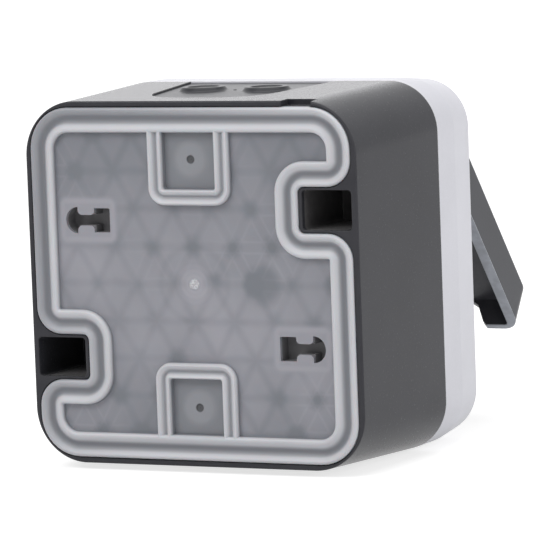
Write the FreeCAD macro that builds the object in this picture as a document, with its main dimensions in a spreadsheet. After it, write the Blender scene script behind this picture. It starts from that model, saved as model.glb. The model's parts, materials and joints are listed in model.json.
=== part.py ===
import FreeCAD, Part
import math
import os
import re

import Sketcher
from FreeCAD import Placement, Rotation, Vector

# Splash-proof socket for surface mounting. The origin is the middle of the wall plane, which is
# the crest of the rear seal's lips. +Z is up and the front faces -Y. "Depth" below always means
# the distance from the wall plane towards the front, so depth d lies at y = -d.

# Driving dimensions, in millimetres and degrees.
SIZES = {
    # rear housing
    "rear_side": 75.0,
    "rear_corner": 11.4,
    "front_side": 77.4,
    "front_corner": 10.7,
    "housing_depth": 38.35,
    "wall": 2.0,
    "rear_wall": 2.0,
    "rim_width": 1.2,
    "rim_round": 0.4,
    "embed": 0.5,
    "overshoot": 1.0,
    # rear seal
    "lip_proud": 0.6,
    "seal_field": 1.5,
    "sheet": 0.9,
    "seal_corner": 8.7,
    "seal_clear": 0.1,
    "lip": 1.6,
    "lip_gap": 2.0,
    "inner_lip": 1.65,
    "notch_top": 20.1,
    "notch_bottom": 10.8,
    "notch_inner": 24.5,
    "notch_bulge": 5.5,
    "notch_corner": 1.2,
    # rear cable windows in the seal
    "window_half": 9.3,
    "window_end": 16.1,
    "window_corner": 3.6,
    "window_lip": 1.2,
    "window_gap": 1.0,
    "window_floor_drop": 0.5,
    "window_tail": 31.9,
    "window_tail_step": 0.17,
    "window_recess": 1.0,
    "disc_height": 25.5,
    "disc_radius": 3.7,
    "disc_proud": 0.25,
    "dot_radius": 0.85,
    "gate_radius": 1.0,
    "gate_proud": 0.2,
    # fixing slots
    "slot_round_end": 29.1,
    "slot_square_end": 18.9,
    "slot_radius": 2.75,
    "slot_neck_half": 1.1,
    "slot_square_half": 2.5,
    "slot_square_length": 3.65,
    "slot_height": 12.9,
    "slot_pad_x": 13.0,
    "slot_pad_z": 9.3,
    # triangular ribs behind the seal
    "cell": 8.9,
    "rib": 1.0,
    "lattice_depth": 3.0,
    "rib_reach": 54.0,
    # pockets behind the notches
    "pocket_inner": 25.3,
    "pocket_outer": 36.3,
    "pocket_bottom": 11.4,
    "pocket_top": 19.55,
    "pocket_corner": 0.8,
    "pocket_depth": 20.0,
    "pocket_wall": 1.2,
    # notch in the top rear edge
    "edge_notch_start": 21.3,
    "edge_notch_end": 28.0,
    "edge_notch_length": 3.4,
    # cable entry panels, measured along the drafted wall from the rear rim
    "panel_start": 6.7,
    "panel_middle": 1.05,
    "panel_rear_half": 12.6,
    "panel_front_half": 16.9,
    "panel_corner": 10.0,
    "panel_drop": 0.4,
    "panel_clear": 0.08,
    "panel_end_clear": 0.1,
    "flange_width": 1.5,
    "flange_gap": 0.04,
    "flange": 1.2,
    "flange_end": 4.0,
    "flange_corner": 3.0,
    "nipple_spread": 7.3,
    "nipple_place": 25.0,
    "nipple_base": 5.0,
    "nipple_top": 4.1,
    "nipple_height": 1.0,
    "dish_radius": 3.3,
    "dish_depth": 0.6,
    "nipple_skin": 0.8,
    # cover frame
    "frame_depth": 19.15,
    "frame_straight": 8.6,
    "frame_front_side": 75.5,
    "frame_front_corner": 10.0,
    "frame_front_round": 1.5,
    "frame_wall": 3.4,
    "floor_wall": 2.0,
    "tray_depth": 9.0,
    "lid_clear": 0.6,
    "trough_depth": 2.8,
    "trough_end": 24.4,
    "skirt_length": 2.5,
    "skirt_clear": 0.15,
    "gasket_width": 1.0,
    "gasket": 0.8,
    "scoop_radius": 18.0,
    "scoop_depth": 6.0,
    # socket well
    "well_radius": 19.6,
    "well_depth": 17.5,
    "well_wall": 2.0,
    "well_floor": 3.2,
    "well_clear": 0.4,
    "flange_radius": 24.0,
    "well_flange": 2.0,
    "collar_radius": 23.0,
    "collar_height": 2.2,
    "collar_round": 0.7,
    "well_gasket": 0.8,
    "guide_half": 2.3,
    "guide_proud": 2.0,
    "guide_length": 15.0,
    # contacts
    "pin_spacing": 19.0,
    "pin_hole": 3.0,
    "sleeve_bore": 2.45,
    "sleeve_wall": 0.75,
    "sleeve_recess": 0.2,
    "terminal_half": 4.0,
    "terminal_top": 3.0,
    "terminal_bottom": 16.0,
    "terminal_length": 8.0,
    "terminal_back": 1.0,
    "wire_drop": 11.5,
    "wire_radius": 1.8,
    "earth_block_half": 3.4,
    "earth_block_top": 8.0,
    "strap_half": 3.0,
    "strap": 0.8,
    "clip_gap": 0.8,
    "clip_bump": 1.1,
    "clip_straight": 1.5,
    "clip_tip": 4.0,
    "clip_slot_clear": 0.2,
    # contact carrier and its pillars
    "carrier_half_x": 22.5,
    "carrier_half_z": 16.0,
    "carrier_corner": 4.0,
    "carrier_depth": 11.4,
    "fit": 0.1,
    "pillar_radius": 3.6,
    "pillar_place": 18.5,
    "pilot_depth": 12.0,
    # screws
    "screw_radius": 1.5,
    "thread_fit": 0.02,
    "head_radius": 2.8,
    "head_height": 1.9,
    "head_clear": 0.3,
    "carrier_screw_length": 15.0,
    "carrier_head_recess": 3.4,
    "central_screw_length": 10.6,
    "central_head_recess": 2.0,
    "terminal_head_radius": 2.6,
    "slot_width": 0.8,
    "slot_depth": 0.9,
    "cross_half": 1.75,
    # lid and its hinge
    "lid_side": 67.0,
    "lid_depth": 8.4,
    "lid_corner": 3.6,
    "lid_hinge_corner": 2.5,
    "tray_hinge_corner": 1.0,
    "lid_draft": 0.1,
    "lid_toe": 1.5,
    "lid_wall": 2.0,
    "lid_side_wall": 2.35,
    "lid_low_wall": 1.2,
    "lid_inner_corner": 1.0,
    "lid_fill_margin": 0.2,
    "lid_round": 5.2,
    "finger_half": 25.9,
    "finger_depth": 6.0,
    "finger_lead": 1.0,
    "finger_slope": 2.1,
    "finger_root": 1.7,
    "boss_radius": 3.0,
    "boss_corner": 2.7,
    "boss_length": 1.8,
    "pin_radius": 1.25,
    "pin_running": 0.05,
    "pin_seat": 2.2,
    "pin_head_radius": 2.0,
    "pin_head": 0.8,
    "pin_end_clear": 0.2,
    "lid_gasket_inner": 20.8,
    "lid_gasket_outer": 23.4,
    "collar_clear": 0.3,
    "open_angle": 42.0,
}

# Values that follow from the driving dimensions.
DERIVED = {
    "joint": "lip_proud + housing_depth",
    "front": "joint + frame_depth",
    "draft": "(front_side - rear_side) / (2 * housing_depth)",
    "level_height": "(front_side - rear_side) / 2 * sqrt(1 + draft * draft)",
    "panel_end": "housing_depth - panel_end_clear",
    "panel_slope": "(panel_front_half - panel_rear_half) / (panel_end - panel_start)",
    "seat": "seal_field + sheet",
    "lattice_floor": "seat + lattice_depth",
    "shell_floor": "lattice_floor + rear_wall",
    "seal_half": "rear_side / 2 - rim_width",
    "band": "lip + lip_gap + inner_lip",
    "window_inset": "2 * window_lip + window_gap",
    "row": "cell * sqrt(3) / 2",
    "tray_half": "lid_side / 2 + lid_clear",
    "floor_front": "front - tray_depth",
    "floor_back": "floor_front - floor_wall",
    "trough_floor": "floor_front - trough_depth",
    "frame_inner": "front_side / 2 - frame_wall",
    "skirt_half": "front_side / 2 - wall - skirt_clear",
    "gasket_half": "front_side / 2 - (wall - gasket_width) / 2",
    "gasket_seat": "floor_front + well_gasket",
    "collar_front": "gasket_seat + well_flange + collar_height",
    "well_bottom": "collar_front - well_depth",
    "well_back": "well_bottom - well_floor",
    "well_outer": "well_radius + well_wall",
    "carrier_front": "well_back",
    "carrier_back": "carrier_front - carrier_depth",
    "terminal_rear": "carrier_back + terminal_back",
    "terminal_front": "terminal_rear + terminal_length",
    "clip_outer": "well_radius - clip_gap",
    "clip_end": "collar_front - clip_tip",
    "clip_start": "well_bottom + clip_straight",
    "axis_depth": "front - lid_round",
    "axis_height": "lid_side / 2 - lid_round",
    "lid_half": "lid_side / 2",
    "lid_rim": "lid_round - lid_depth",
    "lid_inner_half": "lid_side / 2 - lid_side_wall",
    "lid_bottom": "lid_round - lid_side",
    "lid_inner_front": "lid_round - lid_wall",
    "boss_face": "lid_inner_half - boss_length",
}

# Lengths closer than SAME are taken as equal. A cut removes more than LEAST_CUT.
SAME = 1e-4
LEAST_CUT = 1e-3

doc = FreeCAD.newDocument("SplashProofSocket")
sheet = doc.addObject("Spreadsheet::Sheet", "Sizes")
for row, (alias, number) in enumerate(SIZES.items(), start=1):
    sheet.set(f"A{row}", alias)
    sheet.set(f"B{row}", str(number))
    sheet.setAlias(f"B{row}", alias)
doc.recompute()


def tied(text):
    """Expression in which each size is read from the sheet."""

    def name(match):
        word = match[0]
        if word in SIZES:
            return "Sizes." + word
        if word in DERIVED:
            return "(" + tied(DERIVED[word]) + ")"
        return word

    return re.sub(r"[A-Za-z_]\w*", name, text)


def value(text):
    """Number that an expression of sizes gives."""
    return float(sheet.evalExpression(tied(text)))


def new_body(label):
    body = doc.addObject("PartDesign::Body", label)
    body.Label = label
    return body


def origin_item(body, role):
    return next(item for item in body.Origin.OriginFeatures if item.Role == role)


def new_sketch(body, name, offset="0", role="XZ_Plane"):
    """Sketch on one of the body's origin planes. On XZ_Plane the offset is a depth."""
    sketch = body.newObject("Sketcher::SketchObject", f"{body.Label}_{name}")
    sketch.AttachmentSupport = [(origin_item(body, role), "")]
    sketch.MapMode = "FlatFace"
    sketch.setExpression("AttachmentOffset.Base.z", tied(offset))
    return sketch


def bind(sketch, constraint, text):
    index = sketch.addConstraint(constraint)
    sketch.setExpression(f"Constraints[{index}]", tied(text))


def place_point(sketch, item, point, x, z):
    bind(sketch, Sketcher.Constraint("DistanceX", item, point, value(x)), x)
    bind(sketch, Sketcher.Constraint("DistanceY", item, point, value(z)), z)


def polygon(sketch, corners):
    """Closed straight-sided outline. Each corner is a pair of expressions."""
    first = sketch.GeometryCount
    points = [Vector(value(x), value(z), 0) for x, z in corners]
    count = len(points)
    for i in range(count):
        sketch.addGeometry(Part.LineSegment(points[i], points[(i + 1) % count]), False)
    for i in range(count):
        after = first + (i + 1) % count
        sketch.addConstraint(Sketcher.Constraint("Coincident", first + i, 2, after, 1))
        place_point(sketch, first + i, 1, *corners[i])


def outline(sketch, corners):
    """Closed outline of level and upright runs, run anticlockwise, with rounded corners.

    Each corner is (x, z, radius) as expressions. The centre and radius of every arc are bound,
    and the straight runs are tangent to the arcs.
    """
    count = len(corners)
    points = [Vector(value(x), value(z), 0) for x, z, _ in corners]
    arcs = []
    for i, (x, z, radius) in enumerate(corners):
        size = value(radius)
        arrive = (points[i] - points[i - 1]).normalize()
        leave = (points[(i + 1) % count] - points[i]).normalize()
        step = leave - arrive
        centre = points[i] + step * size
        left_turn = arrive.x * leave.y - arrive.y * leave.x > 0
        begin = points[i] - arrive * size - centre
        end = points[i] + leave * size - centre
        if not left_turn:
            begin, end = end, begin
        start_angle = math.atan2(begin.y, begin.x)
        end_angle = start_angle + math.pi / 2
        circle_at = Part.Circle(centre, Vector(0, 0, 1), size)
        arc = sketch.addGeometry(Part.ArcOfCircle(circle_at, start_angle, end_angle), False)
        sign_x = "+" if step.x > 0 else "-"
        sign_z = "+" if step.y > 0 else "-"
        place_point(sketch, arc, 3, f"{x} {sign_x} ({radius})", f"{z} {sign_z} ({radius})")
        bind(sketch, Sketcher.Constraint("Radius", arc, size), radius)
        arrives_at = 1 if left_turn else 2
        leave_point = points[i] + leave * size
        arrive_point = points[i] - arrive * size
        arcs.append((arc, arrives_at, 3 - arrives_at, arrive_point, leave_point))
    for i in range(count):
        arc, _, leaves_at, _, here = arcs[i]
        other, arrives_at, _, there, _ = arcs[(i + 1) % count]
        line = sketch.addGeometry(Part.LineSegment(here, there), False)
        sketch.addConstraint(Sketcher.Constraint("Tangent", line, 1, arc, leaves_at))
        sketch.addConstraint(Sketcher.Constraint("Tangent", line, 2, other, arrives_at))


def rectangle(sketch, x0, x1, z0, z1, radius):
    outline(sketch, [(x0, z0, radius), (x1, z0, radius), (x1, z1, radius), (x0, z1, radius)])


def square(sketch, half, radius):
    rectangle(sketch, f"-({half})", half, f"-({half})", half, radius)


def sharp_rectangle(sketch, x0, x1, z0, z1):
    polygon(sketch, [(x0, z0), (x1, z0), (x1, z1), (x0, z1)])


def circle(sketch, x, z, radius):
    item = sketch.addGeometry(
        Part.Circle(Vector(value(x), value(z), 0), Vector(0, 0, 1), value(radius)), False
    )
    place_point(sketch, item, 3, x, z)
    bind(sketch, Sketcher.Constraint("Radius", item, value(radius)), radius)


def extrude(body, kind, name, sketch, length, reverse=False, both=False, taper=None):
    feature = body.newObject(f"PartDesign::{kind}", f"{body.Label}_{name}")
    feature.Profile = sketch
    feature.setExpression("Length", tied(length))
    feature.Reversed = reverse
    feature.Midplane = both
    if taper:
        feature.setExpression("TaperAngle", tied(taper))
    sketch.Visibility = False
    return feature


def pad(body, name, sketch, length, **options):
    """Material along the sketch's normal: towards the front on XZ_Plane, else with reverse."""
    return extrude(body, "Pad", name, sketch, length, **options)


def pocket(body, name, sketch, length, **options):
    """Cut against the sketch's normal: towards the wall on XZ_Plane, else with reverse."""
    return extrude(body, "Pocket", name, sketch, length, **options)


def loft(body, kind, name, start, end):
    feature = body.newObject(f"PartDesign::{kind}", f"{body.Label}_{name}")
    feature.Profile = start
    feature.Sections = [end]
    feature.Ruled = True
    return feature


def fillet(body, name, base, radius, chosen):
    """Round those edges of a feature for which chosen(edge) is true."""
    doc.recompute()
    edges = [f"Edge{i}" for i, edge in enumerate(base.Shape.Edges, start=1) if chosen(edge)]
    feature = body.newObject("PartDesign::Fillet", f"{body.Label}_{name}")
    feature.Base = (base, edges)
    feature.setExpression("Radius", tied(radius))
    return feature


def at_depth(depth):
    """Test for edges that lie wholly at a depth."""
    target = -value(depth)
    return lambda edge: all(abs(v.Y - target) < SAME for v in edge.Vertexes)


def seal_path(inset):
    """The rear seal's outline, moved inwards, with its two notches half a turn apart."""
    half = f"seal_half - ({inset})"
    corner = f"seal_corner - ({inset})"
    bulge = f"notch_bulge - ({inset})"
    root = f"notch_corner + ({inset})"
    deep = f"notch_inner - ({inset})"
    high = f"notch_top + ({inset})"
    low = f"notch_bottom - ({inset})"
    return [
        (half, half, corner),
        (f"-({half})", half, corner),
        (f"-({half})", high, bulge),
        (f"-({deep})", high, root),
        (f"-({deep})", low, root),
        (f"-({half})", low, bulge),
        (f"-({half})", f"-({half})", corner),
        (half, f"-({half})", corner),
        (half, f"-({high})", bulge),
        (deep, f"-({high})", root),
        (deep, f"-({low})", root),
        (half, f"-({low})", bulge),
    ]


def turned(corners, side):
    """The same corners, or with side -1 turned half a turn about the middle."""
    if side > 0:
        return corners
    return [(f"-({c[0]})", f"-({c[1]})", *c[2:]) for c in corners]


def box_corners(x0, x1, z0, z1, radius):
    return [(x0, z0, radius), (x1, z0, radius), (x1, z1, radius), (x0, z1, radius)]


def fixing_slot(sketch, side):
    """Cut-out with a half-round end, a narrow neck and a square end."""
    middle = "slot_round_end - slot_radius"
    inner = "slot_square_end + slot_square_length"
    sign = "" if side > 0 else "-"
    outer_points = [
        (middle, "slot_height - slot_neck_half"),
        (middle, "slot_height - slot_radius"),
        (middle, "slot_height + slot_radius"),
        (middle, "slot_height + slot_neck_half"),
        (inner, "slot_height + slot_neck_half"),
        (inner, "slot_height + slot_square_half"),
        ("slot_square_end", "slot_height + slot_square_half"),
        ("slot_square_end", "slot_height - slot_square_half"),
        (inner, "slot_height - slot_square_half"),
        (inner, "slot_height - slot_neck_half"),
    ]
    corners = [(f"{sign}({x})", f"{sign}({z})") for x, z in outer_points]
    points = [Vector(value(x), value(z), 0) for x, z in corners]
    centre = Vector(side * value(middle), side * value("slot_height"), 0)
    round_end = Part.Circle(centre, Vector(0, 0, 1), value("slot_radius"))
    start = -math.pi / 2 if side > 0 else math.pi / 2
    first = sketch.GeometryCount
    count = len(points)
    for i in range(count):
        if i == 1:
            sketch.addGeometry(Part.ArcOfCircle(round_end, start, start + math.pi), False)
        else:
            sketch.addGeometry(Part.LineSegment(points[i], points[(i + 1) % count]), False)
    for i in range(count):
        after = first + (i + 1) % count
        sketch.addConstraint(Sketcher.Constraint("Coincident", first + i, 2, after, 1))
        if i != 2:
            place_point(sketch, first + i, 1, *corners[i])
    place_point(sketch, first + 1, 3, f"{sign}({middle})", f"{sign}(slot_height)")
    end_x, end_z = corners[2]
    bind(sketch, Sketcher.Constraint("DistanceX", first + 1, 2, value(end_x)), end_x)


# Rear housing

housing = new_body("housing_shell")
rear_face = new_sketch(housing, "rear_face", "lip_proud")
square(rear_face, "rear_side / 2", "rear_corner")
front_face = new_sketch(housing, "front_face", "joint")
square(front_face, "front_side / 2", "front_corner")
block = loft(housing, "AdditiveLoft", "block", rear_face, front_face)
fillet(housing, "rim_round", block, "rim_round", at_depth("lip_proud"))

hollow_rear = new_sketch(housing, "hollow_rear", "shell_floor")
hollow_half = "rear_side / 2 + draft * (shell_floor - lip_proud) - wall"
square(hollow_rear, hollow_half, "rear_corner - wall")
hollow_front = new_sketch(housing, "hollow_front", "joint")
square(hollow_front, "front_side / 2 - wall", "front_corner - wall")
loft(housing, "SubtractiveLoft", "hollow", hollow_rear, hollow_front)

# The seal lies in a recess of its own outline, with the ribbed field below it.
seal_recess = new_sketch(housing, "seal_recess")
outline(seal_recess, seal_path("-seal_clear"))
pocket(housing, "seal_recess", seal_recess, "seat", reverse=True)
field_recess = new_sketch(housing, "field_recess")
outline(field_recess, seal_path("band"))
pocket(housing, "field_recess", field_recess, "lattice_floor", reverse=True)

WINDOW_BLOCK = box_corners(
    "-window_half", "window_half", "window_end", "seal_half - band + embed", "window_corner"
)
WINDOW_HOLE = box_corners(
    "-(window_half - window_inset)",
    "window_half - window_inset",
    "window_end + window_inset",
    "seal_half - band",
    "pocket_corner",
)
SLOT_PAD = box_corners(
    "(slot_round_end + slot_square_end) / 2 - slot_pad_x / 2",
    "(slot_round_end + slot_square_end) / 2 + slot_pad_x / 2",
    "slot_height - slot_pad_z / 2",
    "slot_height + slot_pad_z / 2",
    "pocket_corner",
)
NOTCH_POCKET = box_corners(
    "-pocket_outer", "-pocket_inner", "pocket_bottom", "pocket_top", "pocket_corner"
)
NOTCH_TUNNEL = box_corners(
    "-(pocket_outer + embed / 2)",
    "-(pocket_inner - pocket_wall)",
    "pocket_bottom - pocket_wall",
    "pocket_top + pocket_wall",
    "pocket_corner",
)

for side, place in ((1, "upper"), (-1, "lower")):
    window = new_sketch(housing, f"window_{place}", "lattice_floor")
    outline(window, turned(WINDOW_BLOCK, side))
    pad(housing, f"window_{place}", window, "lattice_depth", reverse=True)
    window_floor = new_sketch(housing, f"window_floor_{place}")
    outline(window_floor, turned(WINDOW_HOLE, side))
    pocket(housing, f"window_floor_{place}", window_floor, "seat + window_recess", reverse=True)
    slot_pad = new_sketch(housing, f"slot_pad_{place}", "lattice_floor")
    outline(slot_pad, turned(SLOT_PAD, side))
    pad(housing, f"slot_pad_{place}", slot_pad, "lattice_depth", reverse=True)
    slot = new_sketch(housing, f"slot_{place}")
    fixing_slot(slot, side)
    pocket(housing, f"slot_{place}", slot, "lattice_floor", reverse=True)
    tunnel = new_sketch(housing, f"tunnel_{place}", "shell_floor - embed")
    outline(tunnel, turned(NOTCH_TUNNEL, side))
    pad(housing, f"tunnel_{place}", tunnel, "pocket_depth + pocket_wall - shell_floor + embed")
    notch = new_sketch(housing, f"notch_{place}")
    outline(notch, turned(NOTCH_POCKET, side))
    pocket(housing, f"notch_{place}", notch, "pocket_depth", reverse=True)

# Pillars for the contact carrier
for side, place in ((-1, "left"), (1, "right")):
    pillar = new_sketch(housing, f"pillar_{place}", "shell_floor - embed")
    circle(pillar, f"{side} * pillar_place", "0", "pillar_radius")
    pad(housing, f"pillar_{place}", pillar, "carrier_back - shell_floor + embed")
    pilot = new_sketch(housing, f"pilot_{place}", "carrier_back")
    circle(pilot, f"{side} * pillar_place", "0", "screw_radius + thread_fit")
    pocket(housing, f"pilot_{place}", pilot, "pilot_depth")

edge_notch = new_sketch(housing, "edge_notch")
sharp_rectangle(
    edge_notch,
    "-edge_notch_end",
    "-edge_notch_start",
    "seal_half + seal_clear",
    "rear_side / 2 + overshoot",
)
pocket(housing, "edge_notch", edge_notch, "lip_proud + edge_notch_length", reverse=True)


def panel_corners(grow, rear, front):
    """Entry panel seen from outside, with the wall's front end towards -Y."""
    corners = []
    for side, depth in (("-", rear), ("-", front), ("+", front), ("+", rear)):
        half = f"panel_rear_half + panel_slope * ({depth} - panel_start) + {grow}"
        corners.append((f"panel_middle {side} ({half})", f"-({depth})"))
    return corners


def rear_panel_corner(edge):
    """True for the upright edges at the panel's rear end."""
    ends = edge.Vertexes
    if len(ends) < 2:
        return False
    upright = abs(ends[0].X - ends[1].X) < SAME and abs(ends[0].Y - ends[1].Y) < SAME
    return upright and ends[0].Y > -value("panel_start + panel_corner")


def panel_block(label, top, thickness, grow, front, corner):
    """Plate with the entry panel's outline, from height top downwards."""
    body = new_body(label)
    profile = new_sketch(body, "profile", top, "XY_Plane")
    polygon(profile, panel_corners(grow, f"panel_start - ({grow})", front))
    plate = pad(body, "plate", profile, thickness, reverse=True)
    fillet(body, "corners", plate, corner, rear_panel_corner)
    return body


def seat_on_wall(item, top):
    """Tilt an item to the drafted top wall, or turn it under the bottom wall."""
    lean = Rotation(Vector(1, 0, 0), -math.degrees(math.atan(value("draft"))))
    turn = Rotation() if top else Rotation(Vector(0, 1, 0), 180)
    sign = "" if top else "-"
    item.Placement = Placement(Vector(), turn * lean)
    item.setExpression("Placement.Base.y", tied("-lip_proud"))
    item.setExpression("Placement.Base.z", tied(f"{sign}rear_side / 2"))


panel_holes = []
for top, place in ((True, "top"), (False, "bottom")):
    hole = panel_block(
        f"{place}_entry_hole",
        "overshoot",
        "wall + 2 * overshoot",
        "panel_clear",
        "housing_depth + overshoot",
        "panel_corner + panel_clear",
    )
    seat_on_wall(hole, top)
    panel_holes.append(hole)

# The shell with its two panel openings
top_open = doc.addObject("Part::Cut", "housing_open_top")
top_open.Base = housing
top_open.Tool = panel_holes[0]
both_open = doc.addObject("Part::Cut", "housing_open_both")
both_open.Base = top_open
both_open.Tool = panel_holes[1]

# Triangular ribs of the rear wall: three families of lines that cross at common nodes. The
# nodes of the middle row stand half a cell aside, so that the middle is free.
rib_field = new_body("rib_field")
field = new_sketch(rib_field, "field", "seat")
outline(field, seal_path("band - embed"))
pad(rib_field, "field", field, "lattice_depth")
for side, place in ((1, "upper"), (-1, "lower")):
    for shape, kind in ((WINDOW_BLOCK, "window"), (SLOT_PAD, "slot_pad")):
        gap = new_sketch(rib_field, f"{kind}_{place}", "seat")
        outline(gap, turned(shape, side))
        pocket(rib_field, f"{kind}_{place}", gap, "lattice_depth", reverse=True)

FAMILIES = ((0, "0"), (60, "row / 2"), (120, "row / 2"))
reach = value("seal_half") * math.sqrt(2)
rib_families = []
for turn, shift in FAMILIES:
    across = int(reach // value("row"))
    bars = []
    for line in range(-across - 1, across + 1):
        bar = doc.addObject("Part::Box", f"rib_{turn}_{line + across + 1}")
        bar.setExpression("Length", tied("2 * rib_reach"))
        bar.setExpression("Width", tied("lattice_depth"))
        bar.setExpression("Height", tied("rib"))
        bar.Placement = Placement(Vector(), Rotation(Vector(0, 1, 0), turn))
        sideways = f"({line} * row + {shift} - rib / 2)"
        move_x = f"-rib_reach * cos({turn} deg) + {sideways} * sin({turn} deg)"
        move_z = f"rib_reach * sin({turn} deg) + {sideways} * cos({turn} deg)"
        bar.setExpression("Placement.Base.x", tied(move_x))
        bar.setExpression("Placement.Base.y", tied("-lattice_floor"))
        bar.setExpression("Placement.Base.z", tied(move_z))
        bars.append(bar)
    lines = doc.addObject("Part::Compound", f"rib_lines_{turn}")
    lines.Links = bars
    family = doc.addObject("Part::Common", f"rib_family_{turn}")
    family.Base = lines
    family.Tool = rib_field
    rib_families.append(family)
rear_housing = doc.addObject("Part::MultiFuse", "rear_housing")
rear_housing.Shapes = [both_open, *rib_families]


# Rear seal: a sheet with a double lip round its edge and round each cable window

seal = new_body("rear_seal")
sheet_outline = new_sketch(seal, "sheet", "seal_field")
outline(sheet_outline, seal_path("0"))
pad(seal, "sheet", sheet_outline, "sheet")
for name, outer, inner in (("outer", "0", "lip"), ("inner", "lip + lip_gap", "band")):
    lip_ring = new_sketch(seal, f"{name}_lip")
    outline(lip_ring, seal_path(outer))
    outline(lip_ring, seal_path(inner))
    pad(seal, f"{name}_lip", lip_ring, "seal_field + sheet / 2")


def window_ring(start):
    """Rounded rectangle round a cable window; its far end lies within the inner lip."""
    return box_corners(
        f"-(window_half - ({start}))",
        f"window_half - ({start})",
        f"window_end + ({start})",
        f"window_tail - window_tail_step * ({start})",
        f"max(window_corner - ({start}); pocket_corner)",
    )


for side, place in ((1, "upper"), (-1, "lower")):
    for name, outer in (("outer", "0"), ("inner", "window_lip + window_gap")):
        ring = new_sketch(seal, f"window_{name}_{place}")
        outline(ring, turned(window_ring(outer), side))
        outline(ring, turned(window_ring(f"{outer} + window_lip"), side))
        pad(seal, f"window_{name}_{place}", ring, "seal_field + sheet / 2")
    well = new_sketch(seal, f"window_floor_{place}")
    outline(well, turned(WINDOW_HOLE, side))
    drop = "seal_field + window_floor_drop"
    pocket(seal, f"window_floor_{place}", well, drop, reverse=True)
    disc = new_sketch(seal, f"disc_{place}", "seal_field + window_floor_drop - disc_proud")
    circle(disc, "0", f"{side} * disc_height", "disc_radius")
    circle(disc, "0", f"{side} * disc_height", "dot_radius")
    pad(seal, f"disc_{place}", disc, "disc_proud + sheet / 4")
    cut = new_sketch(seal, f"slot_{place}")
    fixing_slot(cut, side)
    pocket(seal, f"slot_{place}", cut, "seat + overshoot", reverse=True)

gate = new_sketch(seal, "gate", "seal_field - gate_proud")
circle(gate, "0", "0", "gate_radius")
pad(seal, "gate", gate, "gate_proud + sheet / 2")


# Cable entry membranes, one in the top wall and one in the bottom wall


def entry_membrane(label, top):
    """Panel flush in the wall, a flange behind it and two nipples dished on both faces."""
    thickness = "wall + flange_gap - panel_drop"
    body = panel_block(label, "-panel_drop", thickness, "0", "panel_end", "panel_corner")
    flange = new_sketch(body, "flange", "-(wall + flange_gap)", "XY_Plane")
    flange_rear = "shell_floor - lip_proud + fit"
    flange_front = "housing_depth - flange_end"
    polygon(flange, panel_corners("flange_width", flange_rear, flange_front))
    flange_pad = pad(body, "flange", flange, "flange", reverse=True)

    def below_plate(edge):
        lowest = min(v.Z for v in edge.Vertexes)
        return rear_panel_corner(edge) and lowest < -value("wall + flange / 2")

    fillet(body, "flange_corners", flange_pad, "flange_corner", below_plate)
    rings = new_sketch(body, "nipples", "-panel_drop - embed", "XY_Plane")
    dishes = new_sketch(body, "dishes", "nipple_height - panel_drop", "XY_Plane")
    undersides = new_sketch(body, "undersides", "-(wall + flange_gap + flange)", "XY_Plane")
    for side in (-1, 1):
        middle = f"panel_middle + {side} * nipple_spread"
        circle(rings, middle, "-nipple_place", "nipple_base")
        circle(dishes, middle, "-nipple_place", "dish_radius")
        circle(undersides, middle, "-nipple_place", "dish_radius")
    slope = "atan((nipple_base - nipple_top) / (nipple_height + embed))"
    pad(body, "nipples", rings, "nipple_height + embed", taper=f"-{slope}")
    pocket(body, "dishes", dishes, "dish_depth")
    below = "wall + flange_gap + flange - panel_drop"
    hollow = f"{below} + nipple_height - dish_depth - nipple_skin"
    pocket(body, "undersides", undersides, hollow, reverse=True)
    # The rings end level with the socket's widest part, so that it stands on its side wall.
    ends = ("nipple_place - nipple_base", "nipple_place + nipple_base")
    excess = new_sketch(body, "excess", "0", "YZ_Plane")
    line = [(f"-({end})", f"level_height - draft * ({end})") for end in ends]
    line += [(f"-({end})", "nipple_height + overshoot") for end in reversed(ends)]
    polygon(excess, line)
    pocket(body, "excess", excess, "front_side", both=True)
    seat_on_wall(body, top)
    return body


top_membrane = entry_membrane("top_entry_membrane", True)
bottom_membrane = entry_membrane("bottom_entry_membrane", False)


# Cover frame: straight band, tapered front part, tray for the lid and hinge trough


def hinge_corners(half, low, low_corner, high_corner):
    """Rectangle up to the tray's top, with its own radius at the hinge side."""
    return [
        (f"-({half})", low, low_corner),
        (half, low, low_corner),
        (half, half, high_corner),
        (f"-({half})", half, high_corner),
    ]


frame = new_body("cover_frame")
band_sketch = new_sketch(frame, "band", "joint")
square(band_sketch, "front_side / 2", "front_corner")
pad(frame, "band", band_sketch, "frame_straight")
taper_rear = new_sketch(frame, "taper_rear", "joint + frame_straight")
square(taper_rear, "front_side / 2", "front_corner")
taper_front = new_sketch(frame, "taper_front", "front")
square(taper_front, "frame_front_side / 2", "frame_front_corner")
tapered = loft(frame, "AdditiveLoft", "taper", taper_rear, taper_front)
fillet(frame, "front_round", tapered, "frame_front_round", at_depth("front"))

frame_hollow = new_sketch(frame, "hollow", "joint")
square(frame_hollow, "frame_inner", "front_corner - frame_wall")
pocket(frame, "hollow", frame_hollow, "floor_back - joint", reverse=True)
trough_block = new_sketch(frame, "trough_block", "trough_floor - floor_wall")
outline(
    trough_block,
    hinge_corners(
        "frame_inner + embed",
        "trough_end - floor_wall",
        "pocket_corner",
        "front_corner - frame_wall + embed",
    ),
)
pad(frame, "trough_block", trough_block, "trough_depth")
skirt = new_sketch(frame, "skirt", "joint - skirt_length")
square(skirt, "skirt_half", "front_corner - wall - skirt_clear")
square(skirt, "frame_inner", "front_corner - frame_wall")
pad(frame, "skirt", skirt, "skirt_length + embed")
groove = new_sketch(frame, "groove", "joint")
square(groove, "gasket_half", "front_corner - (wall - gasket_width) / 2")
inner_groove = "gasket_half - gasket_width"
square(groove, inner_groove, "front_corner - (wall + gasket_width) / 2")
pocket(frame, "groove", groove, "gasket", reverse=True)
tray = new_sketch(frame, "tray", "front")
tray_low_corner = "lid_corner + lid_clear"
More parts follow.
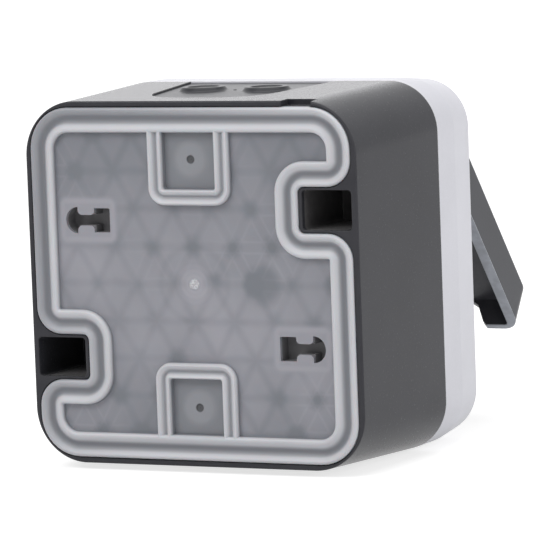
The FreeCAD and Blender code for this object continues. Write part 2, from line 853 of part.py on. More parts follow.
outline(tray, hinge_corners("tray_half", "-tray_half", tray_low_corner, "tray_hinge_corner"))
pocket(frame, "tray", tray, "tray_depth")
trough = new_sketch(frame, "trough", "floor_front")
outline(trough, hinge_corners("tray_half", "trough_end", "pocket_corner", "tray_hinge_corner"))
pocket(frame, "trough", trough, "trough_depth")
well_hole = new_sketch(frame, "well_hole", "front")
circle(well_hole, "0", "0", "well_outer + well_clear")
pocket(frame, "well_hole", well_hole, "tray_depth + floor_wall + trough_depth")
scoop = new_sketch(frame, "scoop", "front")
circle(scoop, "0", "-(tray_half - lid_clear + scoop_radius)", "scoop_radius")
pocket(frame, "scoop", scoop, "scoop_depth")
for side, place in ((-1, "left"), (1, "right")):
    pin_start = f"{side} * (tray_half - overshoot)"
    pin_hole = new_sketch(frame, f"pin_hole_{place}", pin_start, "YZ_Plane")
    circle(pin_hole, "-axis_depth", "axis_height", "pin_radius + thread_fit")
    pin_depth = "pin_seat + overshoot"
    pocket(frame, f"pin_hole_{place}", pin_hole, pin_depth, reverse=side > 0)


def square_ring(label, depth, outer, outer_corner, inner, inner_corner, length):
    body = new_body(label)
    ring = new_sketch(body, "ring", depth)
    square(ring, outer, outer_corner)
    square(ring, inner, inner_corner)
    pad(body, "ring", ring, length)
    return body


def round_ring(label, depth, outer, inner, length):
    body = new_body(label)
    ring = new_sketch(body, "ring", depth)
    circle(ring, "0", "0", outer)
    circle(ring, "0", "0", inner)
    pad(body, "ring", ring, length)
    return body


frame_gasket = square_ring(
    "frame_gasket",
    "joint",
    "gasket_half",
    "front_corner - (wall - gasket_width) / 2",
    inner_groove,
    "front_corner - (wall + gasket_width) / 2",
    "gasket",
)


# Socket well: a turned cup with flange and collar, two guides, pin holes and clip slots

socket_well = new_body("socket_well")
turning = new_sketch(socket_well, "profile", "0", "XY_Plane")
polygon(
    turning,
    [
        ("0", "-well_back"),
        ("well_outer", "-well_back"),
        ("well_outer", "-gasket_seat"),
        ("flange_radius", "-gasket_seat"),
        ("flange_radius", "-(gasket_seat + well_flange)"),
        ("collar_radius", "-(gasket_seat + well_flange)"),
        ("collar_radius", "-collar_front"),
        ("well_radius", "-collar_front"),
        ("well_radius", "-well_bottom"),
        ("0", "-well_bottom"),
    ],
)
cup = socket_well.newObject("PartDesign::Revolution", "socket_well_cup")
cup.Profile = turning
cup.ReferenceAxis = (origin_item(socket_well, "Y_Axis"), [""])
cup.Angle = 360
fillet(socket_well, "collar_round", cup, "collar_round", at_depth("collar_front"))
for side, place in ((-1, "left"), (1, "right")):
    guide = new_sketch(socket_well, f"guide_{place}", "well_bottom - embed")
    start = f"{side} * (well_radius - guide_proud)"
    end = f"{side} * (well_radius + embed)"
    edges = (start, end) if side > 0 else (end, start)
    sharp_rectangle(guide, *edges, "-guide_half", "guide_half")
    pad(socket_well, f"guide_{place}", guide, "guide_length + embed")
    pin = new_sketch(socket_well, f"pin_{place}", "well_bottom")
    circle(pin, f"{side} * pin_spacing / 2", "0", "pin_hole")
    pocket(socket_well, f"pin_{place}", pin, "well_floor")
    clip = new_sketch(socket_well, f"clip_slot_{place}", "well_bottom")
    low = f"{side} * (clip_outer + clip_slot_clear)"
    high = f"{side} * (clip_outer - strap - clip_slot_clear)"
    levels = (high, low) if side > 0 else (low, high)
    reach_x = "strap_half + clip_slot_clear"
    sharp_rectangle(clip, f"-({reach_x})", reach_x, *levels)
    pocket(socket_well, f"clip_slot_{place}", clip, "well_floor")
head_recess = new_sketch(socket_well, "head_recess", "well_bottom")
circle(head_recess, "0", "0", "head_radius + head_clear")
pocket(socket_well, "head_recess", head_recess, "central_head_recess")
screw_way = new_sketch(socket_well, "screw_way", "well_bottom")
circle(screw_way, "0", "0", "screw_radius + head_clear")
pocket(socket_well, "screw_way", screw_way, "well_floor")

well_gasket = round_ring(
    "well_gasket", "floor_front", "flange_radius", "well_outer + thread_fit", "well_gasket"
)


# Contact carrier behind the well

carrier = new_body("contact_carrier")
slab = new_sketch(carrier, "slab", "carrier_back")
rectangle(
    slab,
    "-carrier_half_x",
    "carrier_half_x",
    "-carrier_half_z",
    "carrier_half_z",
    "carrier_corner",
)
pad(carrier, "slab", slab, "carrier_depth")
for side, place in ((-1, "left"), (1, "right")):
    middle = f"{side} * pin_spacing / 2"
    bay = new_sketch(carrier, f"bay_{place}", "carrier_back")
    sharp_rectangle(
        bay,
        f"{middle} - terminal_half - fit",
        f"{middle} + terminal_half + fit",
        "-(terminal_bottom + overshoot)",
        "0",
    )
    bay_length = "terminal_front - carrier_back + fit"
    pocket(carrier, f"bay_{place}", bay, bay_length, reverse=True)
    sleeve_way = new_sketch(carrier, f"sleeve_way_{place}", "carrier_back")
    circle(sleeve_way, middle, "0", "sleeve_bore + sleeve_wall + fit")
    pocket(carrier, f"sleeve_way_{place}", sleeve_way, "carrier_depth", reverse=True)
    screw_seat = new_sketch(carrier, f"screw_seat_{place}", "carrier_front")
    circle(screw_seat, f"{side} * pillar_place", "0", "head_radius + head_clear")
    pocket(carrier, f"screw_seat_{place}", screw_seat, "carrier_head_recess")
    screw_hole = new_sketch(carrier, f"screw_hole_{place}", "carrier_front")
    circle(screw_hole, f"{side} * pillar_place", "0", "screw_radius + head_clear")
    pocket(carrier, f"screw_hole_{place}", screw_hole, "carrier_depth")
earth_bay = new_sketch(carrier, "earth_bay", "carrier_back")
sharp_rectangle(
    earth_bay,
    "-(earth_block_half + fit)",
    "earth_block_half + fit",
    "-(terminal_bottom + overshoot)",
    "-(earth_block_top - fit)",
)
pocket(carrier, "earth_bay", earth_bay, "carrier_depth", reverse=True)
strap_groove = new_sketch(carrier, "strap_groove", "carrier_front")
sharp_rectangle(
    strap_groove,
    "-(strap_half + fit)",
    "strap_half + fit",
    "-(carrier_half_z + overshoot)",
    "carrier_half_z + overshoot",
)
pocket(carrier, "strap_groove", strap_groove, "strap")
central_bore = new_sketch(carrier, "central_bore", "carrier_front")
circle(central_bore, "0", "0", "screw_radius + thread_fit")
pocket(carrier, "central_bore", central_bore, "carrier_depth - terminal_back")


# Live and neutral contacts: a sleeve for the plug's pin and a terminal block below it


def terminal_holes(body, middle):
    """Wire hole from the rear and screw hole from below."""
    wire = new_sketch(body, "wire_hole", "terminal_rear")
    circle(wire, middle, "-wire_drop", "wire_radius")
    pocket(body, "wire_hole", wire, "terminal_length - sleeve_wall", reverse=True)
    screw_up = new_sketch(body, "screw_hole", "-terminal_bottom", "XY_Plane")
    circle(screw_up, middle, "-(terminal_rear + terminal_length / 2)", "screw_radius + thread_fit")
    pocket(body, "screw_hole", screw_up, "terminal_bottom - wire_drop", reverse=True)


def pin_contact(label, side):
    body = new_body(label)
    middle = f"{side} * pin_spacing / 2"
    terminal = new_sketch(body, "terminal", "terminal_rear")
    sharp_rectangle(
        terminal,
        f"{middle} - terminal_half",
        f"{middle} + terminal_half",
        "-terminal_bottom",
        "-terminal_top / 2",
    )
    pad(body, "terminal", terminal, "terminal_length")
    sleeve = new_sketch(body, "sleeve", "terminal_rear")
    circle(sleeve, middle, "0", "sleeve_bore + sleeve_wall")
    pad(body, "sleeve", sleeve, "carrier_front - terminal_rear - sleeve_recess")
    bore = new_sketch(body, "bore", "terminal_rear")
    circle(bore, middle, "0", "sleeve_bore")
    pocket(body, "bore", bore, "carrier_front - terminal_rear", reverse=True)
    terminal_holes(body, middle)
    return body


live_contact = pin_contact("live_contact", -1)
neutral_contact = pin_contact("neutral_contact", 1)


# Earth strap: a bridge under the well, two sprung clips inside it and a terminal block

earth_strap = new_body("earth_strap")
bridge = new_sketch(earth_strap, "bridge", "carrier_front - strap")
sharp_rectangle(bridge, "-strap_half", "strap_half", "-clip_outer", "clip_outer")
pad(earth_strap, "bridge", bridge, "strap")
for side, place in ((1, "upper"), (-1, "lower")):
    leg = new_sketch(earth_strap, f"clip_{place}", "0", "YZ_Plane")
    middle_depth = "(clip_start + clip_end) / 2"
    steps = (
        ("carrier_front - strap", "0"),
        ("clip_start", "0"),
        (middle_depth, "clip_bump"),
        ("clip_end", "0"),
    )
    outer_line = [(f"-({d})", f"{side} * (clip_outer - ({b}))") for d, b in steps]
    inner_line = [(f"-({d})", f"{side} * (clip_outer - strap - ({b}))") for d, b in steps]
    polygon(leg, outer_line + inner_line[::-1])
    pad(earth_strap, f"clip_{place}", leg, "2 * strap_half", both=True)
earth_terminal = new_sketch(earth_strap, "terminal", "terminal_rear")
sharp_rectangle(
    earth_terminal,
    "-earth_block_half",
    "earth_block_half",
    "-terminal_bottom",
    "-earth_block_top",
)
pad(earth_strap, "terminal", earth_terminal, "carrier_front - terminal_rear - strap / 2")
strap_hole = new_sketch(earth_strap, "strap_hole", "carrier_front")
circle(strap_hole, "0", "0", "screw_radius + head_clear")
pocket(earth_strap, "strap_hole", strap_hole, "strap")
terminal_holes(earth_strap, "0")


# Screws, each modelled along +Z with its head on top and its seat at the local origin


def screw(label, head_radius, head_height, shank_length, turn, x, y, z, crossed=False):
    body = new_body(label)
    head = new_sketch(body, "head", "0", "XY_Plane")
    circle(head, "0", "0", head_radius)
    pad(body, "head", head, head_height)
    shank = new_sketch(body, "shank", "0", "XY_Plane")
    circle(shank, "0", "0", "screw_radius")
    pad(body, "shank", shank, shank_length, reverse=True)
    reach_slot = "cross_half" if crossed else f"{head_radius} + overshoot"
    half = "slot_width / 2"
    drive = new_sketch(body, "drive", head_height, "XY_Plane")
    sharp_rectangle(drive, f"-({reach_slot})", reach_slot, f"-{half}", half)
    pocket(body, "drive", drive, "slot_depth")
    if crossed:
        cross = new_sketch(body, "cross", head_height, "XY_Plane")
        sharp_rectangle(cross, f"-{half}", half, f"-({reach_slot})", reach_slot)
        pocket(body, "cross", cross, "slot_depth")
    body.Placement = Placement(Vector(), turn)
    body.setExpression("Placement.Base.x", tied(x))
    body.setExpression("Placement.Base.y", tied(y))
    body.setExpression("Placement.Base.z", tied(z))
    return body


FACING_FRONT = Rotation(Vector(1, 0, 0), 90)
FACING_DOWN = Rotation(Vector(1, 0, 0), 180)

screws = []
terminal_places = (
    ("live_terminal_screw", "-pin_spacing / 2"),
    ("neutral_terminal_screw", "pin_spacing / 2"),
    ("earth_terminal_screw", "0"),
)
for label, x in terminal_places:
    depth = "-(terminal_rear + terminal_length / 2)"
    shank_length = "terminal_bottom - wire_drop - wire_radius"
    screws.append(
        screw(
            label,
            "terminal_head_radius",
            "head_height",
            shank_length,
            FACING_DOWN,
            x,
            depth,
            "-terminal_bottom",
        )
    )
for side, label in ((-1, "carrier_screw_left"), (1, "carrier_screw_right")):
    screws.append(
        screw(
            label,
            "head_radius",
            "head_height",
            "carrier_screw_length",
            FACING_FRONT,
            f"{side} * pillar_place",
            "-(carrier_front - carrier_head_recess)",
            "0",
            crossed=True,
        )
    )
central = screw(
    "central_screw",
    "head_radius",
    "head_height",
    "central_screw_length",
    FACING_FRONT,
    "0",
    "-(well_bottom - central_head_recess)",
    "0",
    crossed=True,
)
screws.append(central)


# Hinge pins, pushed outwards from inside the lid into the frame's side walls

hinge_pins = []
for side, label in ((-1, "hinge_pin_left"), (1, "hinge_pin_right")):
    pin_body = new_body(label)
    head_start = "boss_face - pin_end_clear - pin_head"
    pin_head = new_sketch(pin_body, "head", f"{side} * ({head_start})", "YZ_Plane")
    circle(pin_head, "0", "0", "pin_head_radius")
    pad(pin_body, "head", pin_head, "pin_head", reverse=side < 0)
    pin_shank = new_sketch(pin_body, "shank", f"{side} * ({head_start})", "YZ_Plane")
    circle(pin_shank, "0", "0", "pin_radius")
    shank_run = f"tray_half + pin_seat - pin_end_clear - ({head_start})"
    pad(pin_body, "shank", pin_shank, shank_run, reverse=side < 0)
    pin_body.setExpression("Placement.Base.y", tied("-axis_depth"))
    pin_body.setExpression("Placement.Base.z", tied("axis_height"))
    hinge_pins.append(pin_body)


# Lid, modelled closed about its hinge axis and then turned open. Offsets here are measured
# from the axis: towards the front, and upwards.


def on_hinge(body):
    """Put a body that is modelled about the hinge axis in its place, standing open."""
    body.Placement = Placement(Vector(), Rotation(Vector(-1, 0, 0), value("open_angle")))
    body.setExpression("Placement.Rotation.Angle", tied("open_angle"))
    body.setExpression("Placement.Base.y", tied("-axis_depth"))
    body.setExpression("Placement.Base.z", tied("axis_height"))


def lid_section(sketch, share, hollow=False):
    """Lid outline at a share of the way from rim to front; the hinge side has no draft."""
    side_wall = "lid_side_wall" if hollow else "0"
    low_wall = "lid_low_wall" if hollow else "0"
    top_wall = "lid_wall" if hollow else "0"
    half = f"lid_half - {side_wall} - lid_draft * ({share})"
    low = f"lid_bottom + {low_wall} + lid_toe * ({share})"
    top = f"lid_round - {top_wall}"
    corner = "lid_inner_corner" if hollow else "lid_corner"
    hinge_corner = "embed" if hollow else "lid_hinge_corner"
    outline(
        sketch,
        [
            (f"-({half})", low, corner),
            (half, low, corner),
            (half, top, hinge_corner),
            (f"-({half})", top, hinge_corner),
        ],
    )


def corner_strip(sketch, radius, margin):
    """Corner outside an arc about the axis, on the upper front side."""
    size = value(radius)
    far = value(f"{radius} + {margin}")
    arc = Part.ArcOfCircle(
        Part.Circle(Vector(), Vector(0, 0, 1), size), math.pi / 2, math.pi
    )
    sketch.addGeometry(arc, False)
    points = [(-size, 0), (-far, 0), (-far, far), (0, far), (0, size)]
    names = [f"-({radius})", f"-({radius} + {margin})", f"{radius} + {margin}"]
    for a, b in zip(points, points[1:]):
        sketch.addGeometry(Part.LineSegment(Vector(*a, 0), Vector(*b, 0)), False)
    for i in range(5):
        sketch.addConstraint(Sketcher.Constraint("Coincident", i, 2, (i + 1) % 5, 1))
    place_point(sketch, 0, 3, "0", "0")
    place_point(sketch, 1, 1, names[0], "0")
    place_point(sketch, 2, 1, names[1], "0")
    place_point(sketch, 3, 1, names[1], names[2])
    place_point(sketch, 4, 1, "0", names[2])
    bind(sketch, Sketcher.Constraint("DistanceX", 4, 2, 0), "0")


lid = new_body("lid")
lid_rim = new_sketch(lid, "rim", "lid_rim")
lid_section(lid_rim, "0")
lid_front = new_sketch(lid, "front", "lid_round")
lid_section(lid_front, "1")
loft(lid, "AdditiveLoft", "block", lid_rim, lid_front)
round_off = new_sketch(lid, "round_off", "0", "YZ_Plane")
corner_strip(round_off, "lid_round", "overshoot")
pocket(lid, "round_off", round_off, "lid_side + 2 * overshoot", both=True)
lid_hollow_rim = new_sketch(lid, "hollow_rim", "lid_rim")
lid_section(lid_hollow_rim, "0", hollow=True)
lid_hollow_front = new_sketch(lid, "hollow_front", "lid_inner_front")
lid_section(lid_hollow_front, "(lid_depth - lid_wall) / lid_depth", hollow=True)
loft(lid, "SubtractiveLoft", "hollow", lid_hollow_rim, lid_hollow_front)
fill = new_sketch(lid, "fill", "0", "YZ_Plane")
corner_strip(fill, "lid_inner_front", "lid_fill_margin")
pad(lid, "fill", fill, "2 * (lid_inner_half - lid_draft)", both=True)
finger_notch = new_sketch(lid, "finger_notch", "lid_bottom - overshoot", "XY_Plane")
finger_steps = (
    ("finger_half", "-overshoot"),
    ("finger_half", "0"),
    ("finger_half - finger_lead", "finger_lead"),
    ("finger_half - finger_lead - finger_slope", "finger_depth - finger_lead"),
    ("finger_half - finger_lead - finger_slope - finger_root", "finger_depth"),
)
right_side = [(x, f"-lid_rim - ({deep})") for x, deep in finger_steps]
left_side = [(f"-({x})", up) for x, up in right_side]
polygon(finger_notch, left_side + right_side[::-1])
pocket(lid, "finger_notch", finger_notch, "lid_low_wall + lid_toe + 2 * overshoot", reverse=True)
for side, place in ((-1, "left"), (1, "right")):
    boss = new_sketch(lid, f"boss_{place}", f"{side} * boss_face", "YZ_Plane")
    rectangle(
        boss,
        "-(lid_inner_front + embed)",
        "boss_radius",
        "-boss_radius",
        "boss_radius",
        "boss_corner",
    )
    pad(lid, f"boss_{place}", boss, "boss_length + embed", reverse=side < 0)
    bore = new_sketch(lid, f"bore_{place}", f"{side} * boss_face", "YZ_Plane")
    circle(bore, "0", "0", "pin_radius + pin_running")
    bore_run = "boss_length + lid_side_wall + overshoot"
    pocket(lid, f"bore_{place}", bore, bore_run, reverse=side > 0)
on_hinge(lid)

lid_gasket = new_body("lid_gasket")
lid_ring = new_sketch(lid_gasket, "ring", "collar_front + collar_clear - axis_depth")
circle(lid_ring, "0", "-axis_height", "lid_gasket_outer")
circle(lid_ring, "0", "-axis_height", "lid_gasket_inner")
ring_thickness = "axis_depth + lid_inner_front - collar_front - collar_clear"
pad(lid_gasket, "ring", lid_ring, ring_thickness)
on_hinge(lid_gasket)

doc.recompute()

sub_parts = [
    rear_housing,
    seal,
    top_membrane,
    bottom_membrane,
    frame_gasket,
    frame,
    well_gasket,
    socket_well,
    carrier,
    live_contact,
    neutral_contact,
    earth_strap,
    *screws,
    *hinge_pins,
    lid,
    lid_gasket,
]


def check_document():
    """Stop if an object failed, a cut removed nothing or a sub-part isn't one sound solid."""
    for item in doc.Objects:
        if "Invalid" in item.State or "Error" in item.State:
            raise RuntimeError(f"{item.Label} failed: {item.State}")
        if item.TypeId in ("PartDesign::Pocket", "PartDesign::SubtractiveLoft"):
            if item.BaseFeature.Shape.Volume - item.Shape.Volume < LEAST_CUT:
                raise RuntimeError(f"{item.Label} cuts nothing")
    for part in sub_parts:
        if part.Shape.isNull() or not part.Shape.isValid() or len(part.Shape.Solids) != 1:
            raise RuntimeError(f"{part.Label} is not one valid solid")


check_document()
os.makedirs("parts", exist_ok=True)
for part in sub_parts:
    part.Shape.exportStep(f"parts/{part.Label}.step")
    bounds = part.Shape.BoundBox
    print(
        f"{part.Label:24s} {part.Shape.Volume:10.1f} mm3 "
        f"x {bounds.XMin:7.2f} {bounds.XMax:7.2f} y {bounds.YMin:7.2f} {bounds.YMax:7.2f} "
        f"z {bounds.ZMin:7.2f} {bounds.ZMax:7.2f}"
    )
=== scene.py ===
import json
import math

import bmesh
import bpy
from mathutils import Matrix, Vector


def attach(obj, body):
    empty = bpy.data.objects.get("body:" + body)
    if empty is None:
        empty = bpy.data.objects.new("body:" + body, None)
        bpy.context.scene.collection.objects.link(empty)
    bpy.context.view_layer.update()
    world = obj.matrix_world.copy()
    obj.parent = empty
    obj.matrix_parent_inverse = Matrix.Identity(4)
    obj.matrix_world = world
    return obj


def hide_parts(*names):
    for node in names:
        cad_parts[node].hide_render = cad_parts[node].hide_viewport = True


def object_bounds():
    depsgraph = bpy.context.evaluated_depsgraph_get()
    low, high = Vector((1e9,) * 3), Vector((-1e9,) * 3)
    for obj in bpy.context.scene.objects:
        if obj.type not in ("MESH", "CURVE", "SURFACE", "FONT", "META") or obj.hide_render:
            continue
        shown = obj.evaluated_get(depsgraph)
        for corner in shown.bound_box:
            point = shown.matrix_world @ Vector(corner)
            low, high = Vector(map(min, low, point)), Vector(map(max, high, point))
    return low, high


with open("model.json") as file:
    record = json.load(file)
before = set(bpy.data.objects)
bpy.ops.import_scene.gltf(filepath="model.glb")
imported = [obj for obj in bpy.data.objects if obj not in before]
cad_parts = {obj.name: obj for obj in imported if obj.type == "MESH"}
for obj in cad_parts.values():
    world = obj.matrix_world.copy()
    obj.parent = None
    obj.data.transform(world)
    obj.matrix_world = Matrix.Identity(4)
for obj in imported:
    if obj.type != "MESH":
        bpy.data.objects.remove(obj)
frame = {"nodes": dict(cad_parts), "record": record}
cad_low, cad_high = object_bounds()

# Measures of the part, in millimetres. The back lies at y = 0 and depth runs towards -Y.

MM = 0.001
LID_OPEN = math.radians(42.0)
HINGE_Y, HINGE_Z = -52.9, 28.3
BACK_WIDTH, FRONT_WIDTH, DRAFT_LENGTH = 75.0, 77.4, 38.35
DRAFT_START = 0.6
SEAL_HALF = 36.3
FIELD = 1.5
SEAT = 2.4
SLOT_MIDDLE = (24.0, 12.9)
WINDOW_MIDDLE = 25.5
WINDOW_HALF, WINDOW_LOW, WINDOW_HIGH = 9.3, 16.1, 31.9
WINDOW_CORNER = 3.6
WINDOW_FLOOR = FIELD + 0.5
ENTRY_X, ENTRY_Y = 1.05, -25.0
NIPPLE_ASIDE = 7.3


# Camera, at the photograph's viewing angle

FOCAL_LENGTH = 293.99
STANDPOINT = Vector((-412.36, 810.19, 99.68))
view = bpy.data.cameras.new("view")
view.lens = FOCAL_LENGTH
view.sensor_width = 36.0
view.clip_start = 0.05
view.clip_end = 20.0
camera = bpy.data.objects.new("view", view)
bpy.context.scene.collection.objects.link(camera)
RIGHT = Vector((-0.90072, -0.43291, -0.03619))
UP = Vector((0.01415, -0.1125, 0.99355))
BACK = Vector((-0.43419, 0.89439, 0.10745))
turn = Matrix((RIGHT, UP, BACK)).transposed().to_4x4()
camera.matrix_world = Matrix.Translation(STANDPOINT * MM) @ turn
bpy.context.scene.camera = camera
bpy.context.scene.view_settings.view_transform = "Standard"


# Small language for shader arithmetic


class Num:
    """A number that a node tree works out; the usual signs add Math nodes."""

    def __init__(self, tree, socket):
        self.tree = tree
        self.socket = socket

    def math(self, operation, *others):
        node = self.tree.nodes.new("ShaderNodeMath")
        node.operation = operation
        for socket, item in zip(node.inputs, (self, *others)):
            if isinstance(item, Num):
                self.tree.links.new(item.socket, socket)
            else:
                socket.default_value = item
        return Num(self.tree, node.outputs[0])

    def __add__(self, other):
        return self.math("ADD", other)

    def __sub__(self, other):
        return self.math("SUBTRACT", other)

    def __mul__(self, other):
        return self.math("MULTIPLY", other)

    def __neg__(self):
        return self * -1.0

    def size(self):
        return self.math("ABSOLUTE")

    def root(self):
        return self.math("SQRT")

    def most(self, other):
        return self.math("MAXIMUM", other)

    def fold(self, period):
        """Distance to the nearest multiple of the period."""
        return self.math("PINGPONG", period / 2)

    def step(self, low, high):
        """0 at low and 1 at high, smooth between them."""
        node = self.tree.nodes.new("ShaderNodeMapRange")
        node.interpolation_type = "SMOOTHSTEP"
        self.tree.links.new(self.socket, node.inputs["Value"])
        if low < high:
            node.inputs["From Min"].default_value = low
            node.inputs["From Max"].default_value = high
        else:
            node.inputs["From Min"].default_value = high
            node.inputs["From Max"].default_value = low
            node.inputs["To Min"].default_value = 1.0
            node.inputs["To Max"].default_value = 0.0
        return Num(self.tree, node.outputs["Result"])


# The Mix node has sockets of the same name for each kind of data; these are the colour ones
MIX_COLOUR_A, MIX_COLOUR_B, MIX_COLOUR_RESULT = 6, 7, 2


class Paint:
    """One material: a Principled shader whose colour, roughness and bump come from nodes."""

    def __init__(self, name):
        self.material = bpy.data.materials.new(name)
        self.material.use_nodes = True
        self.tree = self.material.node_tree
        self.shader = self.tree.nodes["Principled BSDF"]
        self.place = self.tree.nodes.new("ShaderNodeTexCoord").outputs["Object"]
        self.last_bump = None

    def axes(self):
        """Millimetres along the part's own axes."""
        split = self.tree.nodes.new("ShaderNodeSeparateXYZ")
        self.tree.links.new(self.place, split.inputs[0])
        return [Num(self.tree, split.outputs[i]) * 1000.0 for i in range(3)]

    def noise(self, scale, detail=3.0, roughness=0.5, stretch=(1, 1, 1)):
        """Noise with about scale features to a millimetre."""
        spread = self.tree.nodes.new("ShaderNodeMapping")
        spread.inputs["Scale"].default_value = [s * scale * 1000 for s in stretch]
        self.tree.links.new(self.place, spread.inputs["Vector"])
        node = self.tree.nodes.new("ShaderNodeTexNoise")
        node.inputs["Scale"].default_value = 1.0
        node.inputs["Detail"].default_value = detail
        node.inputs["Roughness"].default_value = roughness
        self.tree.links.new(spread.outputs[0], node.inputs["Vector"])
        return Num(self.tree, node.outputs["Fac"])

    def mix(self, amount, first, second):
        """Colour between two others, which are RGB values or colour sockets."""
        node = self.tree.nodes.new("ShaderNodeMix")
        node.data_type = "RGBA"
        self.tree.links.new(amount.socket, node.inputs["Factor"])
        for slot, item in ((MIX_COLOUR_A, first), (MIX_COLOUR_B, second)):
            if isinstance(item, tuple):
                node.inputs[slot].default_value = (*item, 1.0)
            else:
                self.tree.links.new(item, node.inputs[slot])
        return node.outputs[MIX_COLOUR_RESULT]

    def colour(self, socket):
        self.tree.links.new(socket, self.shader.inputs["Base Color"])

    def roughness(self, number):
        self.tree.links.new(number.socket, self.shader.inputs["Roughness"])

    def bump(self, height, millimetres, strength=1.0):
        """Relief on top of the relief so far."""
        node = self.tree.nodes.new("ShaderNodeBump")
        node.inputs["Distance"].default_value = millimetres * MM
        node.inputs["Strength"].default_value = strength
        self.tree.links.new(height.socket, node.inputs["Height"])
        if self.last_bump:
            self.tree.links.new(self.last_bump, node.inputs["Normal"])
        self.last_bump = node.outputs[0]
        self.tree.links.new(self.last_bump, self.shader.inputs["Normal"])

    def edges(self, radius):
        """Round the edges by this many millimetres, and give 1 on them and 0 on flat faces."""
        bevel = self.tree.nodes.new("ShaderNodeBevel")
        bevel.samples = 6
        bevel.inputs["Radius"].default_value = radius * MM
        flat = self.tree.nodes.new("ShaderNodeNewGeometry")
        agree = self.tree.nodes.new("ShaderNodeVectorMath")
        agree.operation = "DOT_PRODUCT"
        self.tree.links.new(bevel.outputs[0], agree.inputs[0])
        self.tree.links.new(flat.outputs["Normal"], agree.inputs[1])
        self.last_bump = bevel.outputs[0]
        return Num(self.tree, agree.outputs["Value"]).step(0.995, 0.85)

    def put(self, **sockets):
        """Plain numbers on the shader's own sockets."""
        for name, number in sockets.items():
            self.shader.inputs[name.replace("_", " ")].default_value = number


def plastic(name, dark, light, rough, relief=0.02, wear=0.3, zones=()):
    """Moulded plastic with spark-eroded grain, slight blotches, fine scuffs and paler edges.

    Each zone is a function of the place that gives how much of a second colour shows there; the
    zones used here are painted light, paler colours on faces in shade or on rims that catch
    light."""
    paint = Paint(name)
    edge = paint.edges(0.4)
    cloud = paint.noise(0.06, 4.0)
    fine = paint.noise(2.6, 2.0, 0.6)
    base = paint.mix((cloud * 0.6 + fine * 0.4).step(0.3, 0.7), dark, light)
    rubbed = paint.noise(0.3, 4.0, 0.6).step(0.35, 0.65) * 0.7 + 0.3
    pale = tuple(min(0.85, shade * 1.5 + 0.03) for shade in light)
    base = paint.mix(edge * rubbed * wear, base, pale)
    for where, shade in zones:
        # painted light: the zone's paler colour stands in for light on faces in shade or on rims
        # that catch it
        base = paint.mix(where(*paint.axes()) * (rubbed * 0.3 + 0.7), base, shade)
    paint.colour(base)
    scuff = paint.noise(0.9, 5.0, 0.7, (1, 6, 1))
    paint.roughness(fine * 0.16 + scuff * 0.1 - edge * 0.08 + (rough - 0.13))
    paint.bump(fine, relief, 0.5)
    return paint


def metal(name, dark, light, rough):
    """Drawn and plated metal with fine lines and patches."""
    paint = Paint(name)
    lines = paint.noise(1.6, 4.0, 0.7, (1, 14, 1))
    cloud = paint.noise(0.25, 4.0)
    paint.colour(paint.mix((lines * 0.5 + cloud * 0.5).step(0.3, 0.7), dark, light))
    paint.roughness(lines * 0.2 + (rough - 0.1))
    paint.bump(lines, 0.006, 0.4)
    paint.put(Metallic=1.0)
    return paint


def rubber(name, dark, light, rough=0.6, crater_shade=None):
    """Soft moulding. The last argument is a function of the place that gives where painted shade
    darkens it, as inside the craters.
    """
    paint = Paint(name)
    cloud = paint.noise(0.12, 4.0)
    fine = paint.noise(3.0, 3.0, 0.65)
    base = paint.mix((cloud * 0.5 + fine * 0.5).step(0.3, 0.7), dark, light)
    if crater_shade:
        # painted shade inside the craters
        base = paint.mix(crater_shade(*paint.axes()), base, tuple(shade * 0.2 for shade in dark))
    paint.colour(base)
    paint.roughness(fine * 0.2 + (rough - 0.1))
    paint.bump(fine, 0.015, 0.5)
    return paint


# Zones of painted light: how much of a second, paler colour shows at a place, in millimetres on
# the part's axes


def pockets_painted_light(x, y, z):
    """1 on the faces behind the fixing slots and the seal's notches, which lie out of the light;
    painted light makes them paler there.
    """
    return (-y).step(1.6, 2.0) * x.size().step(34.6, 34.3) * z.size().step(20.5, 20.2)


def rear_rim_painted_light(x, y, z):
    """1 on the rear edge of the housing, which stands round the seal, where painted light makes
    it paler.
    """
    return (-y).step(1.0, 0.7)


def slot_floors_painted_light(x, y, z):
    """1 on the shallow faces behind the two fixing slots, which lie in shade and are painted
    paler still as painted light.
    """
    return pockets_painted_light(x, y, z) * (x * z).step(60.0, 90.0) * (-y).step(6.2, 5.9)


housing_paint = plastic(
    "housing",
    (0.0165, 0.017, 0.0225),
    (0.0235, 0.024, 0.031),
    0.24,
    relief=0.03,
    # Painted light: the rear rim, and the pockets and slot floors that lie in shade, are painted
    # paler
    zones=(
        (rear_rim_painted_light, (0.040, 0.040, 0.046)),
        (pockets_painted_light, (0.115, 0.110, 0.112)),
        (slot_floors_painted_light, (0.18, 0.178, 0.185)),
    ),
)
housing_paint.put(Specular_IOR_Level=0.13, Sheen_Weight=0.12, Sheen_Roughness=0.45)
insert_paint = plastic("insert", (0.034, 0.034, 0.040), (0.046, 0.046, 0.053), 0.34, relief=0.012)
insert_paint.put(Specular_IOR_Level=0.3)


def lid_behind(y, z):
    """How far a place on the lid lies behind the hinge axis, square to the lid."""
    return (y - HINGE_Y) * math.cos(LID_OPEN) - (z - HINGE_Z) * math.sin(LID_OPEN)


def lid_rim_painted_reflection(x, y, z):
    """1 on the smooth rim that the lid closes on, painted pale as a painted reflection."""
    return (lid_behind(y, z) - 3.2).size().step(0.2, 0.1)


def lid_inside_painted_light(x, y, z):
    """1 on the inner faces of the lid's walls and plate, which lie in shade and are painted paler
    as painted light.
    """
    behind = lid_behind(y, z)
    along = (y - HINGE_Y) * math.sin(LID_OPEN) + (z - HINGE_Z) * math.cos(LID_OPEN)
    hollow = along.step(-1.0, -3.0) * (along + behind * 0.18 + 61.2).step(0.5, 0.7)
    return hollow * x.size().step(31.6, 31.4) * behind.step(-3.5, -3.3)


